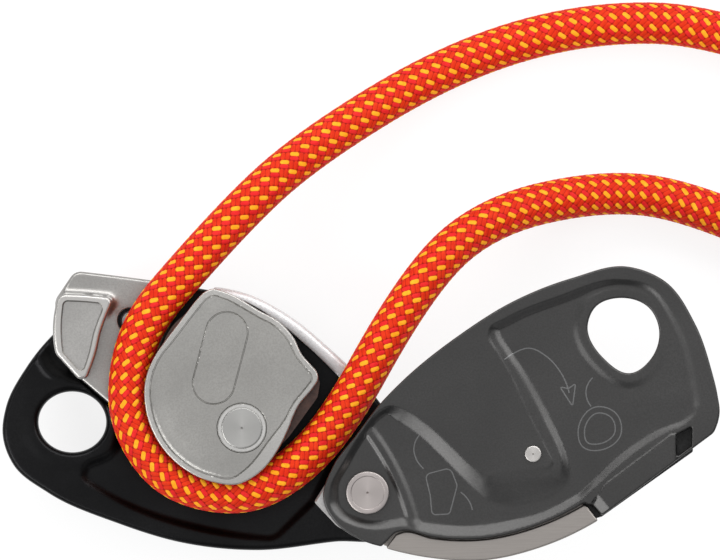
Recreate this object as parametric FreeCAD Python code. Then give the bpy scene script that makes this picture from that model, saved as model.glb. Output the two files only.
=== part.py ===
"""Assisted-braking rope grab, lying on its back with the moving side plate swung open.

Units are millimetres. The origin is on the cam axle's line, in the plane that the device lies on.
+Z is up, away from that plane. +X runs from the cam towards the open side plate.
"""

import FreeCAD
import Part
import math
import os

Vector = FreeCAD.Vector
os.makedirs("parts", exist_ok=True)

# Driving dimensions -------------------------------------------------------------------------
ROPE_R = 5.0
ROPE_MID_Z = 21.5
ROPE_FLOOR_Z = 5.0
END_CAP_LENGTH = 20.0

PIVOT = (29.9, -15.3)
SELECTOR = (-26.7, 25.5)
STRIP_RIVET = (69.2, -6.1)
FIXED_HOLE = (-40.6, 1.3)
FIXED_HOLE_HALF = (8.1, 7.25)
PAD_RIVETS = ((-40.0, 27.0), (-39.6, 17.5))

HANDLE_TOP = 9.6
PLATE_BACK = 10.0
PLATE_FLOOR = 13.0
PLATE_RIM = 14.6
SHEET_TOP = 14.4
LIP_TOP = 16.0
PAD_TOP = 23.4

CAM_BOTTOM = 15.0
CAM_CORE_BOTTOM = 16.2
CAM_CORE_TOP = 26.7
CAM_TOP = 28.0
CAM_RIM_HEIGHT = 0.3

STRIP_BOTTOM = 29.4
COVER_BACK = 30.4
COVER_TOP = 32.4
COVER_ISLAND_TOP = 34.4

AXLE_R = 4.0
AXLE_FLANGE_R = 6.5
AXLE_BOTTOM = 2.2
AXLE_HEAD_R = 4.9
AXLE_HEAD_TOP = 29.1
AXLE_WASHER_THICK = 0.3
RIVET_R = 3.5
RUNNING_GAP = 0.05
BUSHING_WALL = 0.9
SLEEVE_R = 6.0
PAD_RIVET_R = 1.2
STRIP_RIVET_R = 1.2
STRIP_HEAD_R = 2.1

PIVOT_BACK_HEAD_R = 5.6
PIVOT_BACK_HEAD_HEIGHT = 1.5
PIVOT_HEAD_R = 5.1
PIVOT_HEAD_RECESS_R = 3.9
PIVOT_BOSS_R = 8.4
PIVOT_BOSS_TOP = 33.4
PIVOT_TOP = 35.2

STOP_PIN_R = 1.2
STOP_RADIUS = 11.0
STOP_ANGLE = 60.0
CAM_TRAVEL = 4.0
SPRING_POCKET_R = 7.9
SPRING_POCKET_TOP = 21.0
PILL_UPPER = (-3.6, 22.6)
PILL_LOWER = (-6.7, 10.7)
PILL_R = 5.0
PILL_DEPTH = 0.3

LEVER_BOTTOM = 3.6
LEVER_TOP = 6.4
LEVER_HUB_R = 10.0
LEVER_SLEEVE_TOP = 14.7
SHELL_WALL = 2.0
SHELL_FLOOR = 2.1
GRIP_INSET = 7.5
GRIP_LOW = 0.2
GRIP_TOP = 0.9
HUB_CLEAR_R = 10.5
PAWL_PLACE = (20.0, -3.0)
PAWL_PIN_R = 1.2
PAWL_TOP = 8.6

STUD_R = 2.4
STUD_FLANGE_R = 3.7
STUD_BOTTOM = 4.6
STUD_FLANGE_TOP = 5.7
STUD_TOP = 13.9
KNOB_R = 8.7
KNOB_TOP = 9.2
KNOB_WEB = 5.9
KNOB_BORE_R = 3.9
KNOB_GRIPS = 12
KNOB_GRIP_R = 1.6
KNOB_GRIP_CIRCLE_R = 9.6
BUTTON_BOTTOM = 0.7
BUTTON_TOP = 2.6
DETENT_R = 1.2
DETENT = (SELECTOR[0] + 5.6, SELECTOR[1], PLATE_BACK + 0.6)


# Small helpers ------------------------------------------------------------------------------
def corner_wire(corners, z):
    """Closed wire through (x, y, radius) corners, each rounded by its own radius."""
    edges = []
    ends = []
    count = len(corners)
    for i in range(count):
        here = Vector(corners[i][0], corners[i][1], z)
        before = Vector(corners[i - 1][0], corners[i - 1][1], z)
        after = Vector(corners[(i + 1) % count][0], corners[(i + 1) % count][1], z)
        back = (before - here).normalize()
        ahead = (after - here).normalize()
        half = back.getAngle(ahead) / 2
        radius = corners[i][2]
        reach = radius / math.tan(half)
        inward = (back + ahead).normalize()
        middle = here + inward * (radius / math.sin(half) - radius)
        ends.append((here + back * reach, middle, here + ahead * reach))
    for i in range(count):
        start, middle, stop = ends[i]
        edges.append(Part.Arc(start, middle, stop).toShape())
        edges.append(Part.LineSegment(stop, ends[(i + 1) % count][0]).toShape())
    return Part.Wire(edges)


def slab(corners, low, high):
    """Flat plate with rounded corners between two heights."""
    return Part.Face(corner_wire(corners, low)).extrude(Vector(0, 0, high - low))


def inset(corners, distance, low, high):
    """The same plate as slab, drawn in by a distance all round."""
    wire = corner_wire(corners, low).makeOffset2D(-distance)
    return Part.Face(wire).extrude(Vector(0, 0, high - low))


def frustum(lower, upper, low, high):
    """Raised island with sloping sides between two outlines of equal corner count."""
    return Part.makeLoft([corner_wire(lower, low), corner_wire(upper, high)], True, True)


def around_axle(radius, degrees):
    return (radius * math.cos(math.radians(degrees)), radius * math.sin(math.radians(degrees)))


def disc(centre, radius, low, high):
    return Part.makeCylinder(radius, high - low, Vector(centre[0], centre[1], low))


def ring(centre, outer, inner, low, high):
    return disc(centre, outer, low, high).cut(disc(centre, inner, low, high))


def ellipse_disc(centre, half_x, half_y, low, high):
    curve = Part.Ellipse(Vector(centre[0], centre[1], low), half_x, half_y)
    return Part.Face(Part.Wire([curve.toShape()])).extrude(Vector(0, 0, high - low))


def level_edges(shape, z):
    """Edges that lie whole at one height."""
    box_edges = []
    for edge in shape.Edges:
        box = edge.BoundBox
        if abs(box.ZMin - z) < 1e-4 and abs(box.ZMax - z) < 1e-4:
            box_edges.append(edge)
    return box_edges


def bevel(shape, z, size):
    """Chamfer every edge at one height."""
    return shape.makeChamfer(size, level_edges(shape, z))


def coil(centre, radius, wire_radius, low, high, turns):
    """Round-wire spring between two heights."""
    height = high - low - 2 * wire_radius
    helix = Part.makeHelix(height / turns, height, radius)
    profile = Part.Wire([Part.Circle(Vector(radius, 0, 0), Vector(0, 1, 0), wire_radius).toShape()])
    spring = Part.Wire(helix.Edges).makePipeShell([profile], True, True)
    spring.translate(Vector(centre[0], centre[1], low + wire_radius))
    return spring


def save(name, shape):
    if not shape.isValid() or len(shape.Solids) != 1:
        print("CHECK", name, "valid", shape.isValid(), "solids", len(shape.Solids))
    shape.Solids[0].exportStep("parts/" + name + ".step")


# Outlines -----------------------------------------------------------------------------------
FIXED_OUTLINE = [
    (-40.0, 37.6, 4.0), (-45.4, 31.0, 6.0), (-45.2, 22.4, 3.0), (-53.4, 13.6, 14.0),
    (-58.0, 4.0, 10.0), (-57.0, -8.0, 8.0), (-46.0, -14.9, 14.0), (-28.0, -24.0, 40.0),
    (-2.0, -30.6, 60.0), (27.0, -26.4, 30.0), (41.6, -26.2, 10.5), (41.2, -9.0, 12.0),
    (24.6, 15.4, 2.5), (5.6, 30.8, 6.0), (-5.0, 33.4, 6.0),
]
FIXED_PAN = [
    (-60.0, 40.0, 1.0), (-47.0, 24.0, 1.0), (-47.8, 17.8, 4.0), (-53.0, 9.6, 8.0),
    (-53.4, -3.6, 8.0), (-33.8, -18.2, 30.0), (-16.0, -26.4, 30.0), (8.0, -28.4, 8.0),
    (17.0, -18.6, 2.0), (22.3, -9.4, 3.0), (38.0, 2.0, 1.0), (38.0, 40.0, 1.0),
]
FRICTION_OUTLINE = [
    (-39.8, 37.3, 3.6), (-45.1, 30.9, 6.0), (-44.9, 20.2, 2.0), (-38.1, 11.0, 1.5),
    (-31.4, 5.6, 2.0), (-16.0, 4.6, 2.0), (-14.0, 14.0, 4.0), (-2.4, 30.4, 2.0),
    (-4.6, 33.2, 2.0),
]
LIP_OUTLINE = [
    (-7.0, 32.6, 0.4), (-6.0, 30.6, 0.4), (1.4, 29.8, 4.0), (12.6, 22.0, 20.0),
    (22.9, 12.7, 0.4), (24.2, 14.9, 0.6), (5.2, 30.6, 8.0),
]
PAD_OUTLINE = [
    (-43.2, 32.1, 3.0), (-45.0, 25.6, 8.0), (-44.6, 16.2, 3.0), (-37.4, 9.8, 1.6),
    (-35.6, 13.2, 6.0), (-34.6, 20.4, 12.0), (-30.4, 30.4, 1.4),
]
CAM_OUTLINE = [
    (-8.4, 34.4, 3.2), (9.6, 26.6, 10.0), (15.0, 17.4, 8.0), (19.6, 12.0, 3.4),
    (11.0, -1.0, 30.0), (3.0, -13.2, 6.0), (-10.6, -14.0, 14.0), (-23.4, -4.0, 12.0),
    (-24.0, 13.2, 14.0),
]
COVER_OUTLINE = [
    (18.8, -17.4, 2.4), (21.4, -8.8, 8.0), (34.2, 8.4, 30.0), (52.0, 24.6, 30.0),
    (89.8, 40.6, 16.0), (104.6, 35.6, 14.0), (115.0, 11.8, 14.0), (113.2, -0.4, 5.0),
    (86.0, -20.8, 0.8), (83.3, -17.6, 0.6), (81.2, -18.6, 4.0), (57.0, -28.4, 44.0),
    (37.0, -25.3, 2.0), (34.0, -28.4, 2.0), (22.0, -25.2, 6.0),
]
COVER_HOLE = [(80.9, 31.0, 6.5), (99.6, 31.0, 7.5), (99.3, 13.0, 8.0), (82.9, 14.0, 8.8)]
STRIP_EDGE = [
    (84.6, -21.4, 0.5), (84.2, -22.4, 0.5), (56.0, -35.0, 52.0), (34.6, -28.9, 0.6),
    (36.4, -25.0, 0.5), (57.0, -28.2, 43.0), (82.4, -18.2, 0.5),
]
STRIP_FLANGE = [
    (79.6, -20.6, 1.0), (60.0, -29.0, 30.0), (44.0, -28.0, 2.0), (52.0, -12.0, 6.0),
    (66.0, -1.6, 4.0), (73.6, -4.0, 4.0),
]
ANVIL_OUTLINE = [
    (17.2, -17.6, 0.7), (22.4, -9.4, 3.0), (32.0, -6.8, 5.0), (39.2, -12.0, 5.0),
    (37.0, -24.2, 5.0), (23.6, -24.4, 5.0),
]
HANDLE_OUTLINE = [
    (-13.2, 13.2, 12.9), (-13.2, -13.2, 12.9), (39.4, -25.2, 7.6), (39.2, -7.4, 6.0),
    (22.4, 14.2, 4.0),
]
LEVER_ARM = [(0, 9.0, 1.0), (0, -9.5, 1.0), (32.0, -21.0, 4.0), (33.0, -10.0, 4.0)]
PAWL_OUTLINE = [
    (12.0, -1.0, 1.0), (17.0, -7.0, 2.0), (25.0, -6.0, 3.0), (24.0, 1.0, 3.0), (16.0, 1.6, 2.0),
]
CORE_OUTLINE = [
    (-8.2, 31.6, 2.6), (7.6, 25.0, 10.0), (13.6, 16.4, 8.0), (18.6, 11.0, 1.5),
    (18.0, 7.3, 2.5), (10.6, -2.9, 14.0), (1.6, -9.8, 10.0), (-7.4, -9.6, 14.0),
    (-15.4, -6.0, 10.0), (-21.2, 3.1, 14.0), (-21.2, 13.3, 20.0), (-17.4, 23.8, 14.0),
]
ISLAND_FOOT = [
    (36.6, 4.8, 3.0), (50.0, 17.8, 20.0), (60.6, 26.0, 2.0), (67.2, 12.4, 20.0),
    (79.4, -11.6, 3.0), (76.6, -17.6, 4.0), (58.2, -20.0, 3.0),
]
ISLAND_CREST = [
    (40.8, 5.6, 2.5), (50.6, 15.0, 18.0), (57.0, 21.4, 2.0), (62.6, 10.6, 18.0),
    (74.2, -9.6, 3.0), (72.0, -14.6, 3.0), (60.4, -16.2, 3.0),
]
RIM_INNER = [
    (60.0, 24.8, 3.0), (88.8, 36.8, 14.0), (102.6, 32.0, 12.0), (109.6, 11.6, 12.0),
    (109.0, 4.4, 2.0), (101.0, 1.6, 2.0), (84.0, -9.0, 6.0), (79.0, -3.0, 8.0),
    (70.0, 11.0, 12.0),
]
BLOCK_FOOT = [
    (85.9, -20.0, 0.8), (107.8, -4.4, 2.0), (107.0, 1.2, 2.0), (85.6, -13.4, 1.6),
]
BLOCK_CREST = [
    (87.4, -18.0, 0.8), (106.6, -4.2, 1.4), (106.0, -0.6, 1.4), (87.2, -14.0, 1.0),
]
SLOT_OUTLINE = [(103.3, -6.0, 0.8), (106.9, -3.4, 0.8), (106.9, 0.4, 0.8), (103.3, -1.4, 0.8)]
WRAP_ROUTE = [
    (-17.2, 32.8), (-22.8, 26.3), (-26.9, 14.3), (-26.9, 1.6), (-19.4, -10.6),
    (-8.8, -15.3), (3.2, -15.5), (15.0, -7.9), (24.6, 4.1), (30.0, 13.9),
]
CLIMBER_ROUTE = [
    (-17.2, 32.8, ROPE_MID_Z), (-2.8, 49.51, ROPE_MID_Z), (15.5, 66.4, 14.5),
    (49.6, 87.3, ROPE_FLOOR_Z), (81.8, 96.9, ROPE_FLOOR_Z), (114.0, 96.4, ROPE_FLOOR_Z),
    (138.0, 86.0, ROPE_FLOOR_Z),
]
BRAKE_ROUTE = [
    (30.0, 13.9, ROPE_MID_Z), (41.7, 35.13, ROPE_MID_Z), (58.6, 50.5, 14.0),
    (85.0, 56.6, ROPE_FLOOR_Z), (106.0, 54.6, ROPE_FLOOR_Z), (124.0, 46.6, ROPE_FLOOR_Z),
]
STOP_PIN = around_axle(STOP_RADIUS, STOP_ANGLE)


# Root: plates, axle, pivot ------------------------------------------------------------------
def fixed_side_plate():
    plate = slab(FIXED_OUTLINE, PLATE_BACK, PLATE_RIM)
    plate = plate.cut(slab(FIXED_PAN, PLATE_FLOOR, PLATE_RIM))
    half_x, half_y = FIXED_HOLE_HALF
    boss = ellipse_disc(FIXED_HOLE, half_x + 2.2, half_y + 2.2, PLATE_FLOOR - 1, PLATE_RIM)
    plate = plate.fuse(boss)
    plate = plate.cut(slab(FRICTION_OUTLINE, PLATE_FLOOR, PLATE_RIM))
    plate = plate.cut(ellipse_disc(FIXED_HOLE, half_x, half_y, PLATE_BACK, PLATE_RIM))
    plate = plate.cut(disc((0, 0), SLEEVE_R + RUNNING_GAP, PLATE_BACK, PLATE_FLOOR))
    plate = plate.cut(disc(PIVOT, RIVET_R, PLATE_BACK, PLATE_RIM))
    plate = plate.cut(disc(PIVOT, PIVOT_BACK_HEAD_R, PLATE_BACK, PLATE_BACK + PIVOT_BACK_HEAD_HEIGHT))
    plate = plate.cut(disc(SELECTOR, STUD_R, PLATE_BACK, PLATE_FLOOR))
    for place in PAD_RIVETS:
        plate = plate.cut(disc(place, PAD_RIVET_R, PLATE_BACK, PLATE_FLOOR))
    plate = plate.cut(disc(STOP_PIN, STOP_PIN_R, PLATE_FLOOR - 2, PLATE_FLOOR))
    plate = plate.cut(Part.makeSphere(DETENT_R, Vector(*DETENT)))
    return plate.removeSplitter()


def friction_plate():
    sheet = slab(FRICTION_OUTLINE, PLATE_FLOOR, SHEET_TOP)
    sheet = sheet.fuse(slab(LIP_OUTLINE, PLATE_FLOOR, LIP_TOP))
    sheet = sheet.cut(disc(SELECTOR, STUD_R + 0.6, PLATE_FLOOR, SHEET_TOP))
    for place in PAD_RIVETS:
        sheet = sheet.cut(disc(place, PAD_RIVET_R, PLATE_FLOOR, SHEET_TOP))
    return sheet


def rope_guide_pad():
    pad = bevel(slab(PAD_OUTLINE, SHEET_TOP, PAD_TOP), PAD_TOP, 0.7)
    return pad.cut(inset(PAD_OUTLINE, 1.9, PAD_TOP - 0.7, PAD_TOP))


def pad_rivet(place):
    return disc(place, PAD_RIVET_R, PLATE_BACK, SHEET_TOP)


def pivot_rivet():
    back = disc(PIVOT, PIVOT_BACK_HEAD_R, PLATE_BACK, PLATE_BACK + PIVOT_BACK_HEAD_HEIGHT)
    shank = disc(PIVOT, RIVET_R, PLATE_BACK, PIVOT_TOP - 1)
    head = bevel(disc(PIVOT, PIVOT_HEAD_R, PIVOT_BOSS_TOP + 0.3, PIVOT_TOP), PIVOT_TOP, 0.5)
    rivet = back.fuse([shank, head])
    rivet = rivet.cut(disc(PIVOT, PIVOT_HEAD_RECESS_R, PIVOT_TOP - 0.3, PIVOT_TOP))
    return rivet.cut(Part.makeSphere(1.0, Vector(PIVOT[0], PIVOT[1], PIVOT_TOP)))


def friction_anvil():
    block = bevel(slab(ANVIL_OUTLINE, PLATE_RIM, STRIP_BOTTOM - 0.6), STRIP_BOTTOM - 0.6, 0.4)
    return block.cut(disc(PIVOT, RIVET_R, PLATE_RIM, STRIP_BOTTOM))


def pivot_washer():
    return ring(PIVOT, 8.0, RIVET_R, STRIP_BOTTOM - 0.6, COVER_BACK - 0.1)


def cam_axle():
    head_bottom = CAM_TOP + AXLE_WASHER_THICK
    flange = disc((0, 0), AXLE_FLANGE_R, AXLE_BOTTOM, LEVER_BOTTOM - 0.1)
    shaft = disc((0, 0), AXLE_R, AXLE_BOTTOM, head_bottom)
    head = bevel(disc((0, 0), AXLE_HEAD_R, head_bottom, AXLE_HEAD_TOP), AXLE_HEAD_TOP, 0.3)
    axle = flange.fuse([shaft, head])
    return axle.cut(disc((0, 0), 0.6, AXLE_HEAD_TOP - 0.5, AXLE_HEAD_TOP))


def axle_washer():
    return ring((0, 0), 5.6, AXLE_R, CAM_TOP, CAM_TOP + AXLE_WASHER_THICK)


def cam_stop_pin():
    pin_top = CAM_CORE_BOTTOM - 0.2
    return bevel(disc(STOP_PIN, STOP_PIN_R, PLATE_FLOOR - 2, pin_top), pin_top, 0.2)


# Cam ----------------------------------------------------------------------------------------


def cam_core():
    bore = AXLE_R + RUNNING_GAP + BUSHING_WALL
    core = slab(CORE_OUTLINE, CAM_CORE_BOTTOM, CAM_CORE_TOP)
    core = core.cut(disc((0, 0), bore, CAM_CORE_BOTTOM, CAM_CORE_TOP))
    return core.cut(disc((0, 0), SPRING_POCKET_R, CAM_CORE_BOTTOM, SPRING_POCKET_TOP))


def cam_top_flange():
    rim_top = CAM_TOP + CAM_RIM_HEIGHT
    bore = AXLE_R + RUNNING_GAP + BUSHING_WALL
    flange = bevel(slab(CAM_OUTLINE, CAM_CORE_TOP, rim_top), rim_top, 0.25)
    flange = flange.cut(inset(CAM_OUTLINE, 1.1, CAM_TOP, rim_top))
    flange = flange.cut(capsule_recess())
    return flange.cut(disc((0, 0), bore, CAM_CORE_TOP, CAM_TOP + 1))


def capsule_recess():
    """Plain pill-shaped recess in the cam's face."""
    run = Vector(PILL_UPPER[0] - PILL_LOWER[0], PILL_UPPER[1] - PILL_LOWER[1], 0)
    bar = Part.makeBox(run.Length, 2 * PILL_R, PILL_DEPTH, Vector(0, -PILL_R, 0))
    ends = [Part.makeCylinder(PILL_R, PILL_DEPTH, Vector(x, 0, 0)) for x in (0, run.Length)]
    pill = bar.fuse(ends).removeSplitter()
    pill.rotate(Vector(0, 0, 0), Vector(0, 0, 1), math.degrees(math.atan2(run.y, run.x)))
    pill.translate(Vector(PILL_LOWER[0], PILL_LOWER[1], CAM_TOP - PILL_DEPTH))
    return pill


def cam_bottom_flange():
    flange = inset(CORE_OUTLINE, 1.5, CAM_BOTTOM, CAM_CORE_BOTTOM)
    flange = flange.cut(disc((0, 0), SPRING_POCKET_R, CAM_BOTTOM, CAM_CORE_BOTTOM))
    for angle in (STOP_ANGLE, STOP_ANGLE + CAM_TRAVEL):
        place = around_axle(STOP_RADIUS, angle)
        flange = flange.cut(disc(place, STOP_PIN_R + 0.15, CAM_BOTTOM, CAM_CORE_BOTTOM))
    return flange


def cam_bushing():
    inner = AXLE_R + RUNNING_GAP
    return ring((0, 0), inner + BUSHING_WALL, inner, SPRING_POCKET_TOP, CAM_TOP - 0.05)


def cam_return_spring():
    return coil((0, 0), 7.0, 0.45, CAM_CORE_BOTTOM - 0.6, 20.8, 3)


# Moving side --------------------------------------------------------------------------------
def moving_side_plate():
    plate = bevel(slab(COVER_OUTLINE, COVER_BACK, COVER_TOP + 0.8), COVER_TOP + 0.8, 0.5)
    sunk_area = slab(RIM_INNER, COVER_TOP, COVER_TOP + 0.8)
    plate = plate.cut(sunk_area)
    plate = plate.fuse(frustum(ISLAND_FOOT, ISLAND_CREST, COVER_TOP, COVER_ISLAND_TOP))
    lip = inset(COVER_HOLE, -1.7, COVER_TOP - 0.5, COVER_TOP + 0.8)
    plate = plate.fuse(lip).fuse(disc(PIVOT, PIVOT_BOSS_R, COVER_TOP, PIVOT_BOSS_TOP))
    plate = plate.cut(slab(COVER_HOLE, COVER_BACK, COVER_TOP + 1))
    plate = plate.cut(disc(PIVOT, RIVET_R + RUNNING_GAP + BUSHING_WALL, COVER_BACK, PIVOT_BOSS_TOP))
    plate = plate.cut(disc(STRIP_RIVET, STRIP_RIVET_R, COVER_BACK, COVER_ISLAND_TOP))
    return plate.cut(slab(SLOT_OUTLINE, COVER_TOP - 1, COVER_ISLAND_TOP))


def latch_block():
    block = frustum(BLOCK_FOOT, BLOCK_CREST, COVER_TOP + 0.8, COVER_ISLAND_TOP)
    return block.cut(slab(SLOT_OUTLINE, COVER_TOP, COVER_ISLAND_TOP))


def wear_strip():
    edge = bevel(slab(STRIP_EDGE, STRIP_BOTTOM, COVER_TOP + 0.4), COVER_TOP + 0.4, 0.25)
    edge = edge.cut(slab(COVER_OUTLINE, COVER_BACK, COVER_TOP + 1))
    flange = slab(STRIP_FLANGE, STRIP_BOTTOM, COVER_BACK)
    strip = edge.fuse(flange)
    return strip.cut(disc(STRIP_RIVET, STRIP_RIVET_R, STRIP_BOTTOM, COVER_BACK))


def wear_strip_rivet():
    shank = disc(STRIP_RIVET, STRIP_RIVET_R, STRIP_BOTTOM, COVER_ISLAND_TOP)
    head = disc(STRIP_RIVET, STRIP_HEAD_R, COVER_ISLAND_TOP, COVER_ISLAND_TOP + 0.6)
    return bevel(shank.fuse(head), COVER_ISLAND_TOP + 0.6, 0.3)


def pivot_bushing():
    inner = RIVET_R + RUNNING_GAP
    return ring(PIVOT, inner + BUSHING_WALL, inner, COVER_BACK, PIVOT_BOSS_TOP)


def wave_washer():
    return ring(PIVOT, 4.9, RIVET_R, PIVOT_BOSS_TOP + 0.05, PIVOT_BOSS_TOP + 0.3)


# Handle -------------------------------------------------------------------------------------
def handle_shell():
    shell = bevel(slab(HANDLE_OUTLINE, 0, HANDLE_TOP), 0, 0.8)
    shell = shell.cut(inset(HANDLE_OUTLINE, SHELL_WALL, SHELL_FLOOR, HANDLE_TOP))
    grip_pocket = inset(HANDLE_OUTLINE, GRIP_INSET, 0, GRIP_TOP)
    return shell.cut(grip_pocket.cut(disc((0, 0), HUB_CLEAR_R, 0, GRIP_TOP)))


def handle_grip_inlay():
    grip = inset(HANDLE_OUTLINE, GRIP_INSET, GRIP_LOW, GRIP_TOP)
    return grip.cut(disc((0, 0), HUB_CLEAR_R, 0, GRIP_TOP))


def handle_lever():
    hub = disc((0, 0), LEVER_HUB_R, LEVER_BOTTOM, LEVER_TOP)
    arm = slab(LEVER_ARM, LEVER_BOTTOM, LEVER_TOP)
    lever = hub.fuse(arm).fuse(disc((0, 0), SLEEVE_R, LEVER_BOTTOM, LEVER_SLEEVE_TOP))
    lever = lever.cut(disc(PAWL_PLACE, PAWL_PIN_R, LEVER_BOTTOM, LEVER_TOP))
    bore = AXLE_R + RUNNING_GAP + BUSHING_WALL
    return lever.cut(disc((0, 0), bore, LEVER_BOTTOM, CAM_BOTTOM))


def handle_bushing():
    inner = AXLE_R + RUNNING_GAP
    return ring((0, 0), inner + BUSHING_WALL, inner, LEVER_BOTTOM, LEVER_SLEEVE_TOP)


def handle_return_spring():
    return coil((0, 0), 7.4, 0.5, LEVER_TOP + 0.1, HANDLE_TOP - 0.3, 2)


def handle_thrust_washer():
    return ring((0, 0), 9.0, SLEEVE_R + RUNNING_GAP, HANDLE_TOP + 0.05, PLATE_BACK)


def release_pawl():
    pawl = slab(PAWL_OUTLINE, LEVER_TOP + 0.1, PAWL_TOP)
    return pawl.cut(disc(PAWL_PLACE, PAWL_PIN_R, LEVER_TOP, PAWL_TOP))


def release_pawl_pin():
    return disc(PAWL_PLACE, PAWL_PIN_R, LEVER_BOTTOM, PAWL_TOP + 0.6)


# Selector -----------------------------------------------------------------------------------
def selector_stud():
    flange = disc(SELECTOR, STUD_FLANGE_R, STUD_BOTTOM, STUD_FLANGE_TOP)
    stud = flange.fuse(disc(SELECTOR, STUD_R, STUD_BOTTOM, STUD_TOP))
    return bevel(stud, STUD_TOP, 0.4)


def selector_knob():
    knob = bevel(disc(SELECTOR, KNOB_R, 0, KNOB_TOP), 0, 0.8)
    for i in range(KNOB_GRIPS):
        angle = 2 * math.pi * i / KNOB_GRIPS
        x = SELECTOR[0] + KNOB_GRIP_CIRCLE_R * math.cos(angle)
        y = SELECTOR[1] + KNOB_GRIP_CIRCLE_R * math.sin(angle)
        knob = knob.cut(disc((x, y), KNOB_GRIP_R, 0, KNOB_TOP))
    knob = knob.cut(disc(SELECTOR, KNOB_BORE_R, 0, KNOB_WEB))
    return knob.cut(disc(SELECTOR, STUD_R + RUNNING_GAP, KNOB_WEB, KNOB_TOP))


def selector_lock_button():
    button = disc(SELECTOR, KNOB_BORE_R - RUNNING_GAP, BUTTON_BOTTOM, BUTTON_TOP)
    return bevel(button, BUTTON_BOTTOM, 0.3)


def button_spring():
    """Conical spring washer between the button and the stud's flange."""
    clearance = 0.02
    low = Vector(SELECTOR[0], SELECTOR[1], BUTTON_TOP + clearance)
    height = STUD_BOTTOM - BUTTON_TOP - 3 * clearance
    return Part.makeCone(3.4, 2.4, height, low).cut(Part.makeCone(2.9, 1.9, height, low))


def selector_detent_ball():
    return Part.makeSphere(DETENT_R, Vector(*DETENT))


# Rope ---------------------------------------------------------------------------------------
def route_path(name, points):
    """Straight runs joined by arcs, each as large as its two runs allow."""
    places = [Vector(*point) for point in points]
    edges = []
    radii = []
    start = places[0]
    for i in range(1, len(places) - 1):
        back = places[i - 1] - places[i]
        ahead = places[i + 1] - places[i]
        reach = 0.45 * min(back.Length, ahead.Length)
        half = back.getAngle(ahead) / 2
        radius = reach * math.tan(half)
        back.normalize()
        ahead.normalize()
        inward = (back + ahead).normalize()
        middle = places[i] + inward * (radius / math.sin(half) - radius)
        enter = places[i] + back * reach
        leave = places[i] + ahead * reach
        edges.append(Part.LineSegment(start, enter).toShape())
        edges.append(Part.Arc(enter, middle, leave).toShape())
        radii.append(round(radius, 1))
        start = leave
    edges.append(Part.LineSegment(start, places[-1]).toShape())
    path = Part.Wire(edges)
    print(name, "length", round(path.Length, 1), "radii", radii)
    return path


def rope_tube(name, points):
    path = route_path(name, points)
    first = Vector(*points[0])
    direction = (Vector(*points[1]) - first).normalize()
    section = Part.Wire([Part.Circle(first, direction, ROPE_R).toShape()])
    tube = path.makePipeShell([section], True, False)
    expected = math.pi * ROPE_R ** 2 * path.Length
    print(name, "volume over section times length", round(tube.Volume / expected, 4))
    return tube


def end_cap(route):
    """Shrink sleeve over the sealed rope end, drawn as one plug of the rope's own size."""
    last = Vector(*route[-1])
    direction = (last - Vector(*route[-2])).normalize()
    return Part.makeCylinder(ROPE_R, END_CAP_LENGTH, last, direction)


def wrap_route():
    return [(x, y, ROPE_MID_Z) for x, y in WRAP_ROUTE]


# Every node ---------------------------------------------------------------------------------
NODES = {
    "fixed_side_plate": fixed_side_plate(),
    "friction_plate": friction_plate(),
    "rope_guide_pad": rope_guide_pad(),
    "guide_pad_rivet_upper": pad_rivet(PAD_RIVETS[0]),
    "guide_pad_rivet_lower": pad_rivet(PAD_RIVETS[1]),
    "pivot_rivet": pivot_rivet(),
    "friction_anvil": friction_anvil(),
    "pivot_washer": pivot_washer(),
    "wave_washer": wave_washer(),
    "cam_axle": cam_axle(),
    "axle_washer": axle_washer(),
    "cam_stop_pin": cam_stop_pin(),
    "cam_core": cam_core(),
    "cam_top_flange": cam_top_flange(),
    "cam_bottom_flange": cam_bottom_flange(),
    "cam_bushing": cam_bushing(),
    "cam_return_spring": cam_return_spring(),
    "moving_side_plate": moving_side_plate(),
    "latch_block": latch_block(),
    "wear_strip": wear_strip(),
    "wear_strip_rivet": wear_strip_rivet(),
    "pivot_bushing": pivot_bushing(),
    "handle_shell": handle_shell(),
    "handle_grip_inlay": handle_grip_inlay(),
    "handle_lever": handle_lever(),
    "handle_bushing": handle_bushing(),
    "handle_return_spring": handle_return_spring(),
    "handle_thrust_washer": handle_thrust_washer(),
    "release_pawl": release_pawl(),
    "release_pawl_pin": release_pawl_pin(),
    "selector_stud": selector_stud(),
    "selector_knob": selector_knob(),
    "selector_lock_button": selector_lock_button(),
    "button_spring": button_spring(),
    "selector_detent_ball": selector_detent_ball(),
    "rope_wrap": rope_tube("rope_wrap", wrap_route()),
    "rope_climber_strand": rope_tube("rope_climber_strand", CLIMBER_ROUTE),
    "rope_brake_strand": rope_tube("rope_brake_strand", BRAKE_ROUTE),
    "climber_end_cap": end_cap(CLIMBER_ROUTE),
    "brake_end_cap": end_cap(BRAKE_ROUTE),
}

for node, solid in NODES.items():
    save(node, solid)
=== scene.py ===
"""Looks for the rope grab: stamped plates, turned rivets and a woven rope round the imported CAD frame.

Outlines and heights are in millimetres, as in the CAD source, and become metres when a mesh is made.
"""

import math

import bpy
import bmesh
import numpy as np
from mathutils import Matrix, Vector, geometry, kdtree


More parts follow.
